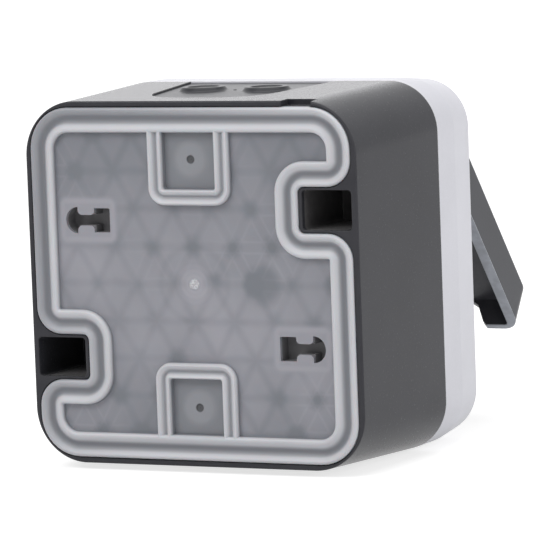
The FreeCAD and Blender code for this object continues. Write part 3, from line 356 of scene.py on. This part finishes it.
lid_paint = plastic(
    "lid",
    (0.021, 0.0218, 0.0285),
    (0.027, 0.028, 0.0365),
    0.34,
    relief=0.016,
    # Painted light: paler inner faces of the lid, which lie in shade, and a painted reflection on
    # the rim
    zones=((lid_inside_painted_light, (0.085, 0.085, 0.095)), (lid_rim_painted_reflection, (0.54, 0.565, 0.62))),
)
lid_paint.put(Specular_IOR_Level=0.22)
frame_paint = plastic(
    "frame", (0.58, 0.58, 0.625), (0.63, 0.63, 0.68), 0.42, relief=0.012, wear=0.5
)
carrier_paint = plastic("carrier", (0.50, 0.48, 0.42), (0.58, 0.56, 0.50), 0.5, relief=0.02)
brass_paint = metal("brass", (0.62, 0.43, 0.18), (0.80, 0.60, 0.30), 0.28)
steel_paint = metal("steel", (0.36, 0.365, 0.375), (0.54, 0.545, 0.555), 0.34)
gasket_paint = rubber("gasket", (0.018, 0.018, 0.019), (0.030, 0.030, 0.032))


def nipple_crater_painted_shade(x, y, z):
    """1 inside the raised rings of the two entry membranes, top and bottom, where painted shade
    darkens the dished craters.
    """
    along = y - ENTRY_Y
    reach = []
    for middle in (x - ENTRY_X, x + ENTRY_X):
        aside = middle.size() - NIPPLE_ASIDE
        reach.append((aside * aside + along * along).root())
    return (reach[0] * z.step(-1.0, 1.0) + reach[1] * z.step(1.0, -1.0)).step(3.6, 3.3)


membrane_paint = rubber(
    "membrane", (0.018, 0.0185, 0.023), (0.026, 0.0265, 0.032), 0.34, nipple_crater_painted_shade
)
membrane_paint.put(Specular_IOR_Level=0.26)


# Rear seal's paint. The soft sheet is milky: thick lips look pale, and through the thin sheet
# the triangular ribs of the dark housing show as faint lines with darker crossings.

RIB_SPACING = 7.7076
SLOT_PAD = (6.5, 4.65)
PAD_CORNER = 1.6
FIELD_DARK, FIELD_LIGHT = (0.172, 0.182, 0.205), (0.356, 0.350, 0.388)
WINDOW_SHADE, DISC_SHADE = (0.213, 0.221, 0.243), (0.260, 0.267, 0.290)
DOT_SHADE = (0.075, 0.077, 0.084)
GROOVE_SHADE = (0.175, 0.180, 0.200)
SCAR_SHADE = (0.62, 0.62, 0.65)


def distance(a, b):
    """Length from two offsets at right angles."""
    return (a * a + b * b).root()


def rib_lines(x, z, warp):
    """The ribs, the painted highlights along their edges and their crossings, each 1 there and 0
    away from them.
    """
    squares = ribs = edges = None
    for degrees, shift in ((0, 0.0), (60, RIB_SPACING / 2), (120, RIB_SPACING / 2)):
        sine, cosine = math.sin(math.radians(degrees)), math.cos(math.radians(degrees))
        away = (x * sine + z * cosine + warp * 0.35 + shift).fold(RIB_SPACING)
        near = away.step(1.5, 0.0)
        # painted highlight beside each rib
        rib_highlight = (away - 1.15).size().step(0.48, 0.0)
        ribs = ribs.most(near) if ribs else near
        edges = edges.most(rib_highlight) if edges else rib_highlight
        squares = squares + away * away if squares else away * away
    reach = (squares * (2.0 / 3.0)).root()
    return ribs, edges, (reach + warp * 0.9).step(3.1, 0.0)


def sheet_tone(paint, x, z, warp, cloud):
    """Tone of the thin sheet, with the housing's ribs behind it."""
    ribs, edges, crossing = rib_lines(x, z, warp)
    drift = paint.noise(0.045, 1.0)
    haze = paint.noise(0.028, 2.0)
    spread = paint.noise(0.05, 2.0)
    tone = cloud * 0.42 + haze * 0.6 + 0.03
    tone = tone - ribs * (drift.step(0.35, 0.65) * 0.10 + 0.02)
    # painted highlights along the ribs' edges
    tone = tone + edges * (drift.step(0.55, 0.35) * 0.075)
    # darker towards the upper and lower edges, and in a round patch about x = -16
    tone = tone - z.step(6.0, 30.0) * 0.24 - (-z).step(10.0, 30.0) * 0.17
    tone = tone - (distance(x + 16.0, z) + warp * 1.6).step(5.5, 2.0) * 0.38
    return tone - crossing * (spread.step(0.58, 0.40) * 0.36 + 0.07)


def with_pads(tone, x, z):
    """Paler pads round the two fixing slots, each with a fine rim."""
    for side in (1.0, -1.0):
        across = (x * side - SLOT_MIDDLE[0]).size() - (SLOT_PAD[0] - PAD_CORNER)
        upward = (z * side - SLOT_MIDDLE[1]).size() - (SLOT_PAD[1] - PAD_CORNER)
        outside = distance(across.most(0.0), upward.most(0.0)) - PAD_CORNER
        pad = outside.step(0.8, -0.6)
        rim = (outside + 0.7).size().step(0.9, 0.1)
        tone = tone + pad * (-tone + 0.60) + rim * 0.10
    return tone


def with_windows(paint, field, x, z):
    """Darker floors in the two cable windows, with a paler disc and a dark dot."""
    floor = x.size().step(6.2, 5.7) * z.size().step(19.2, 19.7)
    radius = distance(x, z.size() - WINDOW_MIDDLE)
    shade = paint.mix(radius.step(4.7, 2.7), WINDOW_SHADE, DISC_SHADE)
    shade = paint.mix(radius.step(1.0, 0.75), shade, DOT_SHADE)
    return paint.mix(floor, field, shade)


def seal_material(name, lip_dark, lip_light, lip_painted_light=None):
    """Milky soft sheet. The lips get their own colour, and run into a darker groove, partly
    thinner sheet and partly painted shade.

    Towards the lower corner at -X the lips are painted paler, up to the colour of the last
    argument, as painted light from that side."""
    paint = Paint(name)
    x, y, z = paint.axes()
    warp = (paint.noise(0.13, 3.0) - 0.5) * 2.4
    cloud = paint.noise(0.07, 4.0)
    tone = with_pads(sheet_tone(paint, x, z, warp, cloud), x, z)
    # flow rings round the gate, and the rough mark in the middle
    gate = distance(x, z)
    rings = gate.fold(1.1) * gate.step(6.5, 1.5)
    tone = tone + rings * 0.12 + gate.step(5.0, 1.5) * 0.13
    tone = tone - (gate - 7.6).size().step(1.2, 0.0) * 0.07
    scar = (gate + (paint.noise(0.8, 3.0) - 0.5) * 0.8).step(1.25, 0.85)
    speck = paint.noise(2.2, 3.0, 0.7).step(0.40, 0.62)
    field = paint.mix(tone.step(0.0, 1.0), FIELD_DARK, FIELD_LIGHT)
    field = with_windows(paint, field, x, z)
    # pale crests: the nearer the wall plane, the thicker the milky material
    depth = -y
    off_gate = gate.step(1.5, 1.8)
    # the groove is darker: partly a thinner milky sheet than the lips, partly painted shade in
    # the crease between them
    groove = paint.mix(depth.step(1.44, 1.28) * off_gate, field, GROOVE_SHADE)
    lip = paint.mix(cloud, lip_dark, lip_light)
    # painted light: the lips are painted paler towards the lower corner at -X, where the light
    # falls
    if lip_painted_light:
        lip = paint.mix((-x - z * 0.6).step(-45.0, 15.0), lip, lip_painted_light)
    skin = paint.mix(depth.step(1.3, 0.4) * off_gate, groove, lip)
    paint.colour(paint.mix(scar * (speck * 0.6 + 0.4), skin, SCAR_SHADE))
    fine = paint.noise(1.8, 3.0)
    paint.roughness(fine * 0.12 + 0.34)
    paint.bump(fine, 0.006, 0.4)
    paint.bump(cloud, 0.12, 0.3)
    paint.bump(rings, 0.05, 0.3)
    paint.bump(scar * speck, 0.12, 0.7)
    paint.put(Subsurface_Weight=0.12, Subsurface_Scale=0.001, IOR=1.42)
    return paint


seal_paint = seal_material("seal", (0.50, 0.505, 0.535), (0.57, 0.575, 0.605))
# The outer lip is painted darker than the inner one as painted shade, and paler towards -X as
# painted light
outer_lip_painted_light_and_shade = seal_material(
    "seal_outer_lip_painted_light_and_shade", (0.275, 0.282, 0.308), (0.320, 0.327, 0.353), (0.53, 0.535, 0.565)
)

NODE_PAINTS = {
    "housing": housing_paint,
    "membrane": membrane_paint,
    "seal": seal_paint,
    "frame": frame_paint,
    "lid": lid_paint,
    "insert": insert_paint,
    "carrier": carrier_paint,
    "gasket": gasket_paint,
    "brass": brass_paint,
    "steel": steel_paint,
}
for sub_part in frame["record"]["subparts"]:
    node = frame["nodes"][sub_part["node"]]
    node.data.materials.clear()
    node.data.materials.append(NODE_PAINTS[sub_part["material_slot"]].material)


# Mesh helpers

SAME_PLACE = 1e-7
SHARP_CORNER = 1e-6


def at_depth(loop, depth):
    """Points of an outline seen from the back, at this depth from the wall plane."""
    return [Vector((p.x, -depth, p.y)) * MM for p in loop]


def rounded(corners, steps=10):
    """Closed outline with rounded corners. A sharp corner, of radius 0, is one point."""
    count = len(corners)
    line = []
    for i, (x, z, radius) in enumerate(corners):
        here = Vector((x, z))
        before = Vector(corners[i - 1][:2])
        after = Vector(corners[(i + 1) % count][:2])
        arrive = (here - before).normalized()
        leave = (after - here).normalized()
        turning = arrive.angle(leave)
        run = radius * math.tan(turning / 2)
        start = here - arrive * run
        end = here + leave * run
        inward = (leave - arrive).normalized()
        centre = here + inward * (radius / math.cos(turning / 2))
        first = start - centre
        last = end - centre
        for k in range(steps + 1):
            share = k / steps
            if radius < SHARP_CORNER:
                line.append(here)
                break
            sweep = first * math.sin((1 - share) * turning) + last * math.sin(share * turning)
            line.append(centre + sweep / math.sin(turning))
    return line


def islands(bm):
    """Lists of faces that hang together."""
    left = set(bm.faces)
    groups = []
    while left:
        group = [left.pop()]
        for face in group:
            for edge in face.edges:
                for other in edge.link_faces:
                    if other in left:
                        left.remove(other)
                        group.append(other)
        groups.append(group)
    return groups


def finish_mesh(name, bm, paints, body, sharp=35.0, facing=None):
    """Object from a mesh. Open surfaces are turned to the side that facing points to."""
    mesh = bpy.data.meshes.new(name)
    bmesh.ops.remove_doubles(bm, verts=bm.verts, dist=SAME_PLACE)
    bmesh.ops.recalc_face_normals(bm, faces=bm.faces)
    for face in bm.faces:
        face.smooth = True
    for group in islands(bm):
        is_open = any(edge.is_boundary for face in group for edge in face.edges)
        total = sum((face.normal * face.calc_area() for face in group), Vector())
        if is_open and facing and total.dot(Vector(facing)) < 0:
            bmesh.ops.reverse_faces(bm, faces=group)
    bm.to_mesh(mesh)
    bm.free()
    mesh.set_sharp_from_angle(angle=math.radians(sharp))
    for paint in paints:
        mesh.materials.append(paint.material)
    item = bpy.data.objects.new(name, mesh)
    bpy.context.scene.collection.objects.link(item)
    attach(item, body)
    return item


def add_rings(bm, rings, closed=False, zones=None):
    """Quads between rings that have the same number of points; a zone picks their material."""
    rows = [[bm.verts.new(p) for p in ring] for ring in rings]
    pairs = list(zip(rows, rows[1:]))
    if closed:
        pairs.append((rows[-1], rows[0]))
    for k, (a, b) in enumerate(pairs):
        for i in range(len(a)):
            j = (i + 1) % len(a)
            face = bm.faces.new((a[i], a[j], b[j], b[i]))
            face.material_index = zones[k] if zones else 0


def fill(bm, loops):
    """Flat face inside the first loop of points and outside the others."""
    edges = []
    for loop in loops:
        corners = [bm.verts.new(p) for p in loop]
        edges += [bm.edges.new((a, b)) for a, b in zip(corners, corners[1:] + corners[:1])]
    bmesh.ops.triangle_fill(bm, edges=edges, use_beauty=True)


def add_plate(bm, outer, holes, depth):
    fill(bm, [at_depth(loop, depth) for loop in (outer, *holes)])


def ring_of(radius, centre=(0.0, 0.0), count=48):
    """Outline of a circle."""
    centre = Vector(centre)
    turns = (math.tau * k / count for k in range(count))
    return [centre + Vector((math.cos(a), math.sin(a))) * radius for a in turns]


# Rear seal. Each path gives the corners of an outline as x, z and rounding.


def seal_path(inset):
    """Square with a notch in each side, drawn in from the seal's edge by the inset."""
    half = SEAL_HALF - inset
    corner = 8.7 - inset
    bulge = 5.5 - inset
    root = 1.2 + inset
    deep = 24.5 - inset
    high = 20.1 + inset
    low = 10.8 - inset
    return [
        (half, half, corner),
        (-half, half, corner),
        (-half, high, bulge),
        (-deep, high, root),
        (-deep, low, root),
        (-half, low, bulge),
        (-half, -half, corner),
        (half, -half, corner),
        (half, -high, bulge),
        (deep, -high, root),
        (deep, -low, root),
        (half, -low, bulge),
    ]


def turned(corners, side):
    """The corners as they are on side 1, and half a turn round on side -1."""
    return corners if side > 0 else [(-c[0], -c[1], *c[2:]) for c in corners]


def window_path(inset):
    """Frame of the upper cable window."""
    half = WINDOW_HALF - inset
    corner = max(WINDOW_CORNER - inset, 0.6)
    low, high = WINDOW_LOW + inset, WINDOW_HIGH - inset / 6
    return [(-half, low, corner), (half, low, corner), (half, high, 0.4), (-half, high, 0.4)]


def slot_outline(side):
    """Fixing slot: half-round end, narrow neck with rounded shoulders, square end."""
    head, radius, steps = 26.35, 2.75, 16
    height = SLOT_MIDDLE[1]
    line = []
    for k in range(steps + 1):
        angle = math.radians(-90 + 180 * k / steps)
        line.append(Vector((head + radius * math.cos(angle), height + radius * math.sin(angle))))
    neck = rounded(
        [
            (head, 15.65, 0.0),
            (head, 14.0, 1.0),
            (22.55, 14.0, 0.9),
            (22.55, 15.4, 0.12),
            (18.9, 15.4, 0.25),
            (18.9, 10.4, 0.25),
            (22.55, 10.4, 0.12),
            (22.55, 11.8, 0.9),
            (head, 11.8, 1.0),
            (head, 10.15, 0.0),
        ],
        6,
    )
    # a corner that repeats the last point is left out
    for p in neck:
        if (p - line[-1]).length > 1e-4:
            line.append(p)
    if (line[-1] - line[0]).length < 1e-4:
        line.pop()
    return [p * side for p in line]


# Sections as pairs of inset and depth: crests and groove of the double lip, whose first rings
# take the outer lip's paint, and the frame round a cable window
BAND = (
    (0.0, SEAT), (0.0, 1.25), (0.06, 0.75), (0.18, 0.36), (0.36, 0.10), (0.58, 0.0), (0.80, 0.03),
    (1.10, 0.20), (1.45, 0.52), (1.80, 0.88), (2.15, 1.14), (2.50, 1.24), (2.85, 1.16),
    (3.20, 0.92), (3.60, 0.56), (4.00, 0.24), (4.35, 0.05), (4.65, 0.0), (4.90, 0.08),
    (5.08, 0.30), (5.20, 0.70), (5.27, 1.20), (5.40, FIELD),
)
OUTER_LIP_RINGS = 11
WINDOW_BAND = (
    (0.0, FIELD), (0.05, 0.95), (0.18, 0.40), (0.38, 0.10), (0.62, 0.05), (0.95, 0.22),
    (1.30, 0.62), (1.65, 0.94), (1.90, 0.98), (2.15, 0.80), (2.45, 0.42), (2.75, 0.12),
    (3.00, 0.05), (3.20, 0.22), (3.32, 0.70), (3.40, 1.30), (3.40, WINDOW_FLOOR),
)
# Sections as pairs of radius and depth: the disc in a window and the gate mark
DISC = (
    (4.30, WINDOW_FLOOR), (3.95, 1.98), (3.60, 1.92), (3.25, 1.86), (2.80, 1.83), (1.10, 1.82),
    (0.92, 1.84), (0.82, 1.92), (0.74, 2.10), (0.60, 2.16), (0.05, 2.16),
)
GATE = ((1.45, FIELD), (1.20, 1.46), (0.98, 1.38), (0.75, 1.34), (0.40, 1.36), (0.05, 1.33))
GATE_SIDES = 32


def field_path(inset):
    """Edge of the flat field, which also goes round the two cable windows."""
    corners = seal_path(inset)
    edge = SEAL_HALF - inset
    opening = [
        (WINDOW_HALF, edge, 0.0),
        (WINDOW_HALF, WINDOW_LOW, WINDOW_CORNER),
        (-WINDOW_HALF, WINDOW_LOW, WINDOW_CORNER),
        (-WINDOW_HALF, edge, 0.0),
    ]
    return corners[:1] + opening + corners[1:7] + turned(opening, -1) + corners[7:]


def build_seal():
    """Double lip, field with its slots, cable windows with their frames, and gate mark."""
    bm = bmesh.new()
    zones = [1 if k < OUTER_LIP_RINGS else 0 for k in range(len(BAND) - 1)]
    add_rings(bm, [at_depth(rounded(seal_path(i)), d) for i, d in BAND], zones=zones)
    slots = []
    for side in (1, -1):
        slot = slot_outline(side)
        slots.append(slot)
        add_rings(bm, [at_depth(slot, FIELD), at_depth(slot, SEAT)])
        middle = (0.0, WINDOW_MIDDLE * side)
        frames = [rounded(turned(window_path(i), side)) for i, d in WINDOW_BAND]
        add_plate(bm, frames[-1], [ring_of(DISC[0][0], middle)], WINDOW_FLOOR)
        add_rings(bm, [at_depth(ring_of(r, middle), d) for r, d in DISC])
        add_rings(bm, [at_depth(loop, d) for loop, (i, d) in zip(frames, WINDOW_BAND)])
    gate = [ring_of(r, count=GATE_SIDES) for r, d in GATE]
    add_plate(bm, rounded(field_path(BAND[-1][0])), [*slots, gate[0]], FIELD)
    add_rings(bm, [at_depth(loop, d) for loop, (r, d) in zip(gate, GATE)])
    paints = [seal_paint, outer_lip_painted_light_and_shade]
    return finish_mesh("seal_skin", bm, paints, "socket", facing=(0, 1, 0))


seal = build_seal()
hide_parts("rear_seal")


# Cable entry membranes. They are made on a level wall, with x across and y along the wall, and
# then turned onto the drafted one. Heights are above the wall's outer face.

LEAN = math.atan((FRONT_WIDTH - BACK_WIDTH) / (2 * DRAFT_LENGTH))
PANEL_REAR, PANEL_FRONT = 6.7, 38.25
PANEL_NARROW, PANEL_WIDE = 12.6, 16.9
PANEL_SLOPE = (PANEL_WIDE - PANEL_NARROW) / (PANEL_FRONT - PANEL_REAR)
SHEET = -0.4
FLANGE_TOP, FLANGE_FLOOR = -2.1, -3.15
# Rings stop softly at the level of the socket's widest part, this far above the wall's rear edge
LEVEL, SOFT = 1.18, 0.06
# Sections as pairs of radius and height: a dished nipple, and the small pit between the two
NIPPLE = (
    (5.7, SHEET), (5.35, -0.37), (5.05, -0.27), (4.8, 0.0), (4.55, 0.35), (4.35, 0.52),
    (4.1, 0.6), (3.85, 0.6), (3.6, 0.54), (3.42, 0.4), (3.3, 0.15), (3.1, 0.04),
    (2.7, 0.0), (0.7, 0.0), (0.45, 0.06), (0.05, 0.08),
)
PIT = ((0.4, SHEET), (0.32, -0.3), (0.04, -0.28))
PIT_SIDES = 16


def on_wall(bm, top):
    """Turn a mesh made on a level wall onto the drafted top or bottom wall."""
    lean = Matrix.Rotation(-LEAN, 4, "X")
    over = Matrix.Identity(4) if top else Matrix.Rotation(math.pi, 4, "Y")
    height = BACK_WIDTH / 2 if top else -BACK_WIDTH / 2
    place = Matrix.Translation(Vector((0, -DRAFT_START, height)) * MM) @ over @ lean
    bmesh.ops.transform(bm, matrix=place, verts=bm.verts)


def at_height(loop, height):
    """Points of an outline on the level wall, at this height above it."""
    return [Vector((p.x, p.y, height)) * MM for p in loop]


def panel_outline(grow, rear, front, corner):
    """Entry panel between two depths, wider by grow on each side and rounded at the rear."""
    wide = PANEL_NARROW + PANEL_SLOPE * (front - PANEL_REAR) + grow
    narrow = PANEL_NARROW + PANEL_SLOPE * (rear - PANEL_REAR) + grow
    return rounded(
        [
            (ENTRY_X - wide, -front, 0.3),
            (ENTRY_X + wide, -front, 0.3),
            (ENTRY_X + narrow, -rear, corner),
            (ENTRY_X - narrow, -rear, corner),
        ],
        12,
    )


def levelled(height, depth):
    """Height above the wall, cut softly at the level of the socket's widest part."""
    most = LEVEL - math.tan(LEAN) * depth
    return min(height, most - SOFT + min(SOFT, max(0.0, height - most) * 0.2))


def build_membrane(name, top):
    """Sheet with two nipples and a pit, its edge in the wall and a flange behind the wall."""
    bm = bmesh.new()
    edge = panel_outline(-0.12, 6.82, 38.13, 9.9)
    outer = panel_outline(0.0, PANEL_REAR, PANEL_FRONT, 10.0)
    flange = panel_outline(1.4, 6.95, 34.35, 3.0)
    holes = []
    for side in (-1, 1):
        middle = (ENTRY_X + NIPPLE_ASIDE * side, ENTRY_Y)
        rings = []
        for radius, height in NIPPLE:
            loop = ring_of(radius, middle)
            rings.append([Vector((p.x, p.y, levelled(height, -p.y))) * MM for p in loop])
        add_rings(bm, rings)
        holes.append(ring_of(NIPPLE[0][0], middle))
    pit = [ring_of(radius, (ENTRY_X, ENTRY_Y), PIT_SIDES) for radius, height in PIT]
    holes.append(pit[0])
    add_rings(bm, [at_height(loop, height) for loop, (radius, height) in zip(pit, PIT)])
    fill(bm, [at_height(loop, SHEET) for loop in (edge, *holes)])
    add_rings(bm, [at_height(edge, SHEET), at_height(outer, -0.5), at_height(outer, -2.0)])
    add_rings(bm, [at_height(flange, FLANGE_TOP), at_height(flange, FLANGE_FLOOR)])
    for height in (FLANGE_TOP, FLANGE_FLOOR):
        fill(bm, [at_height(flange, height)])
    on_wall(bm, top)
    outward = (0, 0, 1 if top else -1)
    return finish_mesh(name, bm, [membrane_paint], "socket", facing=outward)


top_panel = build_membrane("entry_skin_top", True)
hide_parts("top_entry_membrane")
bottom_panel = build_membrane("entry_skin_bottom", False)
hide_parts("bottom_entry_membrane")


# Gaskets: soft rings with a crowned section


def crowned(inner, outer, rear, front):
    """Section of a gasket as pairs of inset from its outer edge and depth."""
    line = []
    count = 16
    middle = (rear + front) / 2
    for k in range(count):
        angle = math.tau * k / count
        across, up = math.cos(angle), math.sin(angle)
        across = math.copysign(abs(across) ** 0.45, across)
        up = math.copysign(abs(up) ** 0.7, up)
        line.append(((outer - inner) * (1 - across) / 2, middle + (front - rear) / 2 * up))
    return line


def build_gasket(name, body, loop, inner, outer, rear, front, place=None):
    """Closed ring between two sizes and two depths; loop gives its outline at a size."""
    bm = bmesh.new()
    section = crowned(inner, outer, rear, front)
    add_rings(bm, [at_depth(loop(outer - i), d) for i, d in section], closed=True)
    if place:
        bmesh.ops.transform(bm, matrix=place, verts=bm.verts)
    return finish_mesh(name, bm, [gasket_paint], body, 60.0)


def frame_loop(half):
    """Rounded square, whose corners turn round the same four points at every size."""
    corner = half - 28.0
    turns = ((1, 1), (-1, 1), (-1, -1), (1, -1))
    return rounded([(half * a, half * b, corner) for a, b in turns])


def round_loop(radius):
    return ring_of(radius, count=96)


axis = Vector((0, HINGE_Y, HINGE_Z)) * MM
lid_open = Matrix.Rotation(LID_OPEN, 4, Vector((-1, 0, 0)))
lid_place = Matrix.Translation(axis) @ lid_open @ Matrix.Translation(-axis)

frame_ring = build_gasket("frame_seal_ring", "socket", frame_loop, 37.22, 38.18, 38.97, 39.74)
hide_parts("frame_gasket")
well_ring = build_gasket("well_seal_ring", "socket", round_loop, 21.66, 23.95, 49.12, 49.88)
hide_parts("well_gasket")
lid_ring = build_gasket("lid_seal_ring", "lid", round_loop, 20.82, 23.38, 54.41, 56.08, lid_place)
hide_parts("lid_gasket")


# Floor, backdrop and light, in metres. The camera, reflections and clear pieces see floor and
# backdrop white, and other rays see them at a plain level. The floor keeps the part's shadow.

scene = bpy.context.scene
WHITE = (1, 1, 1, 1)
FLOOR_REACH = 6.0
FLOOR_GAP = 0.0002
FLOOR_GREY, SEEN_GREY = 0.8, 0.55
GLOW_NEAR = 0.72
WORLD_LEVEL = 0.4
LAMP_TARGET = Vector((0, -0.03, 0))


def white_stage(name, points, faces):
    """Piece of the stage, which is no part of the model."""
    mesh = bpy.data.meshes.new(name)
    mesh.from_pydata(points, [], faces)
    item = bpy.data.objects.new(name, mesh)
    scene.collection.objects.link(item)
    return item


def seeing_rays(tree):
    """1 for the rays that show a surface to the camera, straight or by way of gloss or glass."""
    path = tree.nodes.new("ShaderNodeLightPath")
    rays = Num(tree, path.outputs["Is Camera Ray"])
    rays = rays.most(Num(tree, path.outputs["Is Glossy Ray"]))
    return rays.most(Num(tree, path.outputs["Is Transmission Ray"]))


def diffuse(tree, grey):
    node = tree.nodes.new("ShaderNodeBsdfDiffuse")
    node.inputs["Color"].default_value = (grey, grey, grey, 1)
    return node.outputs[0]


def floor_material():
    """Pale floor. Seen rays add a glow to it, which reaches white away from the part."""
    material = bpy.data.materials.new("floor")
    material.use_nodes = True
    tree = material.node_tree
    tree.nodes.clear()
    spot = tree.nodes.new("ShaderNodeNewGeometry")
    away = tree.nodes.new("ShaderNodeVectorMath")
    away.operation = "LENGTH"
    tree.links.new(spot.outputs["Position"], away.inputs[0])
    far = Num(tree, away.outputs["Value"]).step(0.5, 1.6)
    glow = tree.nodes.new("ShaderNodeEmission")
    glow.inputs["Color"].default_value = WHITE
    level = far * (1.0 - GLOW_NEAR) + GLOW_NEAR
    tree.links.new(level.socket, glow.inputs["Strength"])
    seen = tree.nodes.new("ShaderNodeAddShader")
    tree.links.new(diffuse(tree, SEEN_GREY), seen.inputs[0])
    tree.links.new(glow.outputs[0], seen.inputs[1])
    choose = tree.nodes.new("ShaderNodeMixShader")
    tree.links.new(seeing_rays(tree).socket, choose.inputs[0])
    tree.links.new(diffuse(tree, FLOOR_GREY), choose.inputs[1])
    tree.links.new(seen.outputs[0], choose.inputs[2])
    out = tree.nodes.new("ShaderNodeOutputMaterial")
    tree.links.new(choose.outputs[0], out.inputs["Surface"])
    return material


def lamp(name, place, size, power, tint=(1.0, 1.0, 1.0)):
    """Soft rectangular lamp, aimed at the part."""
    light = bpy.data.lights.new(name, "AREA")
    light.shape = "RECTANGLE"
    light.size, light.size_y = size
    light.energy = power
    light.color = tint
    item = bpy.data.objects.new(name, light)
    scene.collection.objects.link(item)
    item.location = place
    item.rotation_euler = (LAMP_TARGET - Vector(place)).to_track_quat("-Z", "Y").to_euler()


floor_level = cad_low.z - FLOOR_GAP
floor = white_stage(
    "floor",
    [
        (-FLOOR_REACH, -FLOOR_REACH, floor_level),
        (FLOOR_REACH, -FLOOR_REACH, floor_level),
        (FLOOR_REACH, FLOOR_REACH, floor_level),
        (-FLOOR_REACH, FLOOR_REACH, floor_level),
    ],
    [(0, 1, 2, 3)],
)
floor.data.materials.append(floor_material())

world = bpy.data.worlds.new("studio")
scene.world = world
world.use_nodes = True
background = world.node_tree.nodes["Background"]
background.inputs["Color"].default_value = WHITE
strength = seeing_rays(world.node_tree) * (1.0 - WORLD_LEVEL) + WORLD_LEVEL
world.node_tree.links.new(strength.socket, background.inputs["Strength"])

lamp("key", (0.25, 0.75, 0.75), (0.7, 0.5), 5.2)
lamp("top", (0.0, -0.1, 0.9), (0.9, 0.9), 4.5)
lamp("rim", (0.74, -1.5, 0.33), (0.9, 0.6), 0.92, (0.965, 0.96, 1.0))
lamp("side", (-0.9, 0.1, 0.25), (0.5, 0.7), 3.0)
